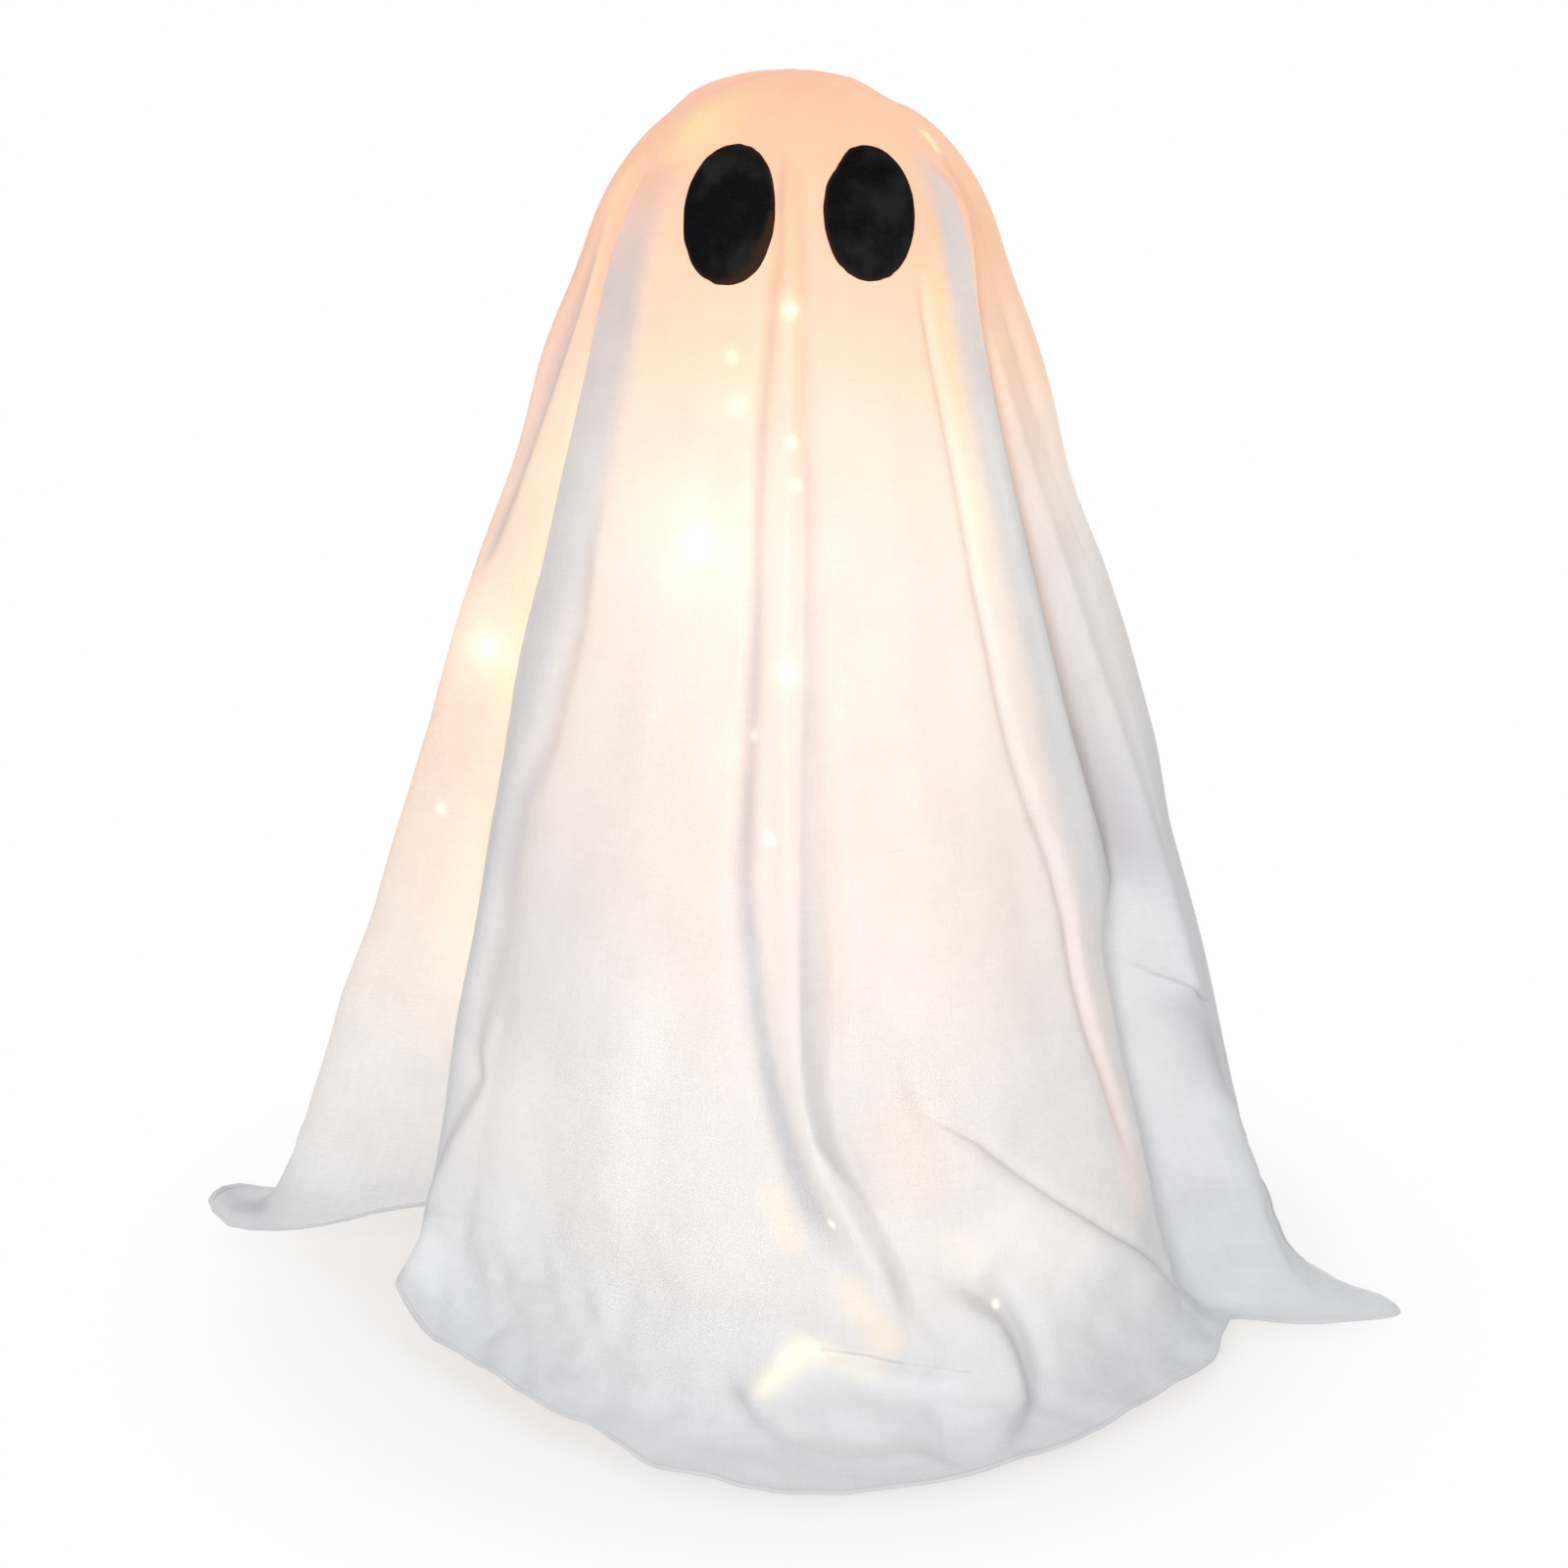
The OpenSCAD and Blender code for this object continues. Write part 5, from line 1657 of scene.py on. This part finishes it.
@dataclass
class SolarCap:
    """The patterned pieces of the solar cap, whose patterns lie in the plane of the cap."""

    tilt: float = 40.0
    globe_z: float = 0.54

    def dress(self, effects: Effects) -> None:
        """Gives the cell, boards, lens and battery their finishes.

        Args:
            effects: the shared node groups.
        """
        turn = math.radians(90 - self.tilt)
        shift = (0.0, self.globe_z * math.sin(turn), -self.globe_z * math.cos(turn))
        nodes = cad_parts
        low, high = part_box("battery_cell")
        dress(nodes["solar_cell"], CellFinish().material(effects, turn, shift))
        dress(nodes["control_board"], BoardFinish("board", (0.02, 0.12, 0.05), (0.05, 0.25, 0.10))
              .material(effects, turn, shift))
        dress(nodes["lamp_board"], BoardFinish("lamp_board", (0.70, 0.70, 0.68), (0.55, 0.55, 0.53))
              .material(effects, turn, shift))
        dress(nodes["battery_cell"], SleeveFinish().material(effects, low[0], high[0]))
        dress(nodes["solar_lens"], LensFinish().material(effects))
        LOG.info("solar_cell, control_board, lamp_board, battery_cell, solar_lens: patterned finishes")


# The studio

@dataclass
class Studio:
    """Pale floor, soft light and the camera."""

    eye: Point = (-0.005, -1.8794, 0.9620)
    down: float = 20.0
    lens: float = 89.94
    sky: float = 0.30
    spread: float = 14.0
    aim: Point = (0.0, 0.0, 0.3)
    # name, place, side in metres and power in watts of each square soft light
    lamps: tuple[tuple[str, Point, float, float], ...] = (
        ("key", (-0.7, -2.5, 1.5), 1.0, 34.0), ("fill", (1.6, -1.9, 1.2), 1.6, 10.0),
        ("top", (0.3, 0.9, 2.4), 1.8, 10.0), ("rear", (1.3, 2.2, 1.3), 1.2, 17.0),
        ("side", (-2.0, 1.2, 1.2), 1.4, 6.5))

    @staticmethod
    def _seen(t: Tree) -> Socket:
        """1 for a ray straight from the camera, from a mirror or through a lens, and 0 for others.

        Args:
            t: the tree that asks.

        Returns:
            The value.
        """
        ray = t.node("LightPath").outputs
        return t.math("MAXIMUM", ray["Is Camera Ray"],
                      t.math("MAXIMUM", ray["Is Glossy Ray"], ray["Is Transmission Ray"]))

    def floor(self) -> None:
        """A wide floor that turns to plain white for the camera away from the object."""
        corners = np.array([(-1, -1, 0), (1, -1, 0), (1, 1, 0), (-1, 1, 0)]) * self.spread
        mesh = bpy.data.meshes.new("floor")
        mesh.from_pydata((corners - (0, 0, 0.0002)).tolist(), [], [(0, 1, 2, 3)])
        add_object("floor", mesh)
        made, t, shader = new_material("floor_paper")
        place = t.place()
        far = t.vector("LENGTH", place)
        paper = t.noise(place, 40.0)
        t.fill(shader.inputs["Base Color"], t.blend(paper, (0.93, 0.93, 0.93), (0.91, 0.91, 0.91)))
        shader.inputs["Roughness"].default_value = 1.0
        shader.inputs["Specular IOR Level"].default_value = 0.0
        white = t.node("Emission", {"Color": (1.0, 1.0, 1.0, 1.0), "Strength": 1.0})
        share = t.math("MULTIPLY", self._seen(t), t.ramp(far, 0.16, 0.38, 0.6, 1.0))
        mixed = t.node("MixShader", {0: share, 1: shader.outputs[0], 2: white.outputs[0]})
        t.fill(made.node_tree.nodes["Material Output"].inputs["Surface"], mixed.outputs[0])
        mesh.materials.append(made)

    def world(self) -> None:
        """Even light from all round, and white behind the floor's edge."""
        world = bpy.data.worlds.new("studio")
        bpy.context.scene.world = world
        world.use_nodes = True
        t = Tree(world.node_tree)
        strength = t.node("MapRange", {0: self._seen(t), 1: 0.0, 2: 1.0, 3: self.sky, 4: 1.0}).outputs[0]
        back = world.node_tree.nodes["Background"]
        back.inputs["Color"].default_value = (1.0, 1.0, 1.0, 1.0)
        t.fill(back.inputs["Strength"], strength)

    def lamp(self, name: str, place: Point, size: float, power: float) -> None:
        """A square soft light that faces the object.

        Args:
            name: its name.
            place: where it is.
            size: its side.
            power: its power in watts.
        """
        data = bpy.data.lights.new(name, "AREA")
        data.size = size
        data.energy = power
        lamp = add_object(name, data)
        way = np.array(self.aim) - np.array(place)
        lamp.location = place
        lean = math.atan2(math.hypot(way[0], way[1]), -way[2])
        lamp.rotation_euler = (lean, 0.0, math.atan2(-way[0], way[1]))

    def camera(self) -> None:
        """The camera, level across and looking down along the Y axis."""
        data = bpy.data.cameras.new("photo_view")
        data.sensor_width = 36.0
        data.lens = self.lens
        data.clip_end = 60.0
        camera = add_object("photo_view", data)
        camera.location = self.eye
        camera.rotation_euler = (math.radians(90 - self.down), 0.0, 0.0)
        bpy.context.scene.camera = camera

    def build(self) -> None:
        """Sets up the floor, the light and the camera."""
        self.floor()
        self.world()
        for lamp in self.lamps:
            self.lamp(*lamp)
        self.camera()
        bpy.context.scene.view_settings.view_transform = "Standard"


def main() -> None:
    """Builds the pieces in order."""
    logging.basicConfig(level=logging.INFO, format="%(name)s %(message)s")
    effects = Effects()
    Studio().build()
    GhostCover(CoverShape(), effects).build()
    Stand().dress(effects)
    SolarCap().dress(effects)


if __name__ == "__main__":
    main()
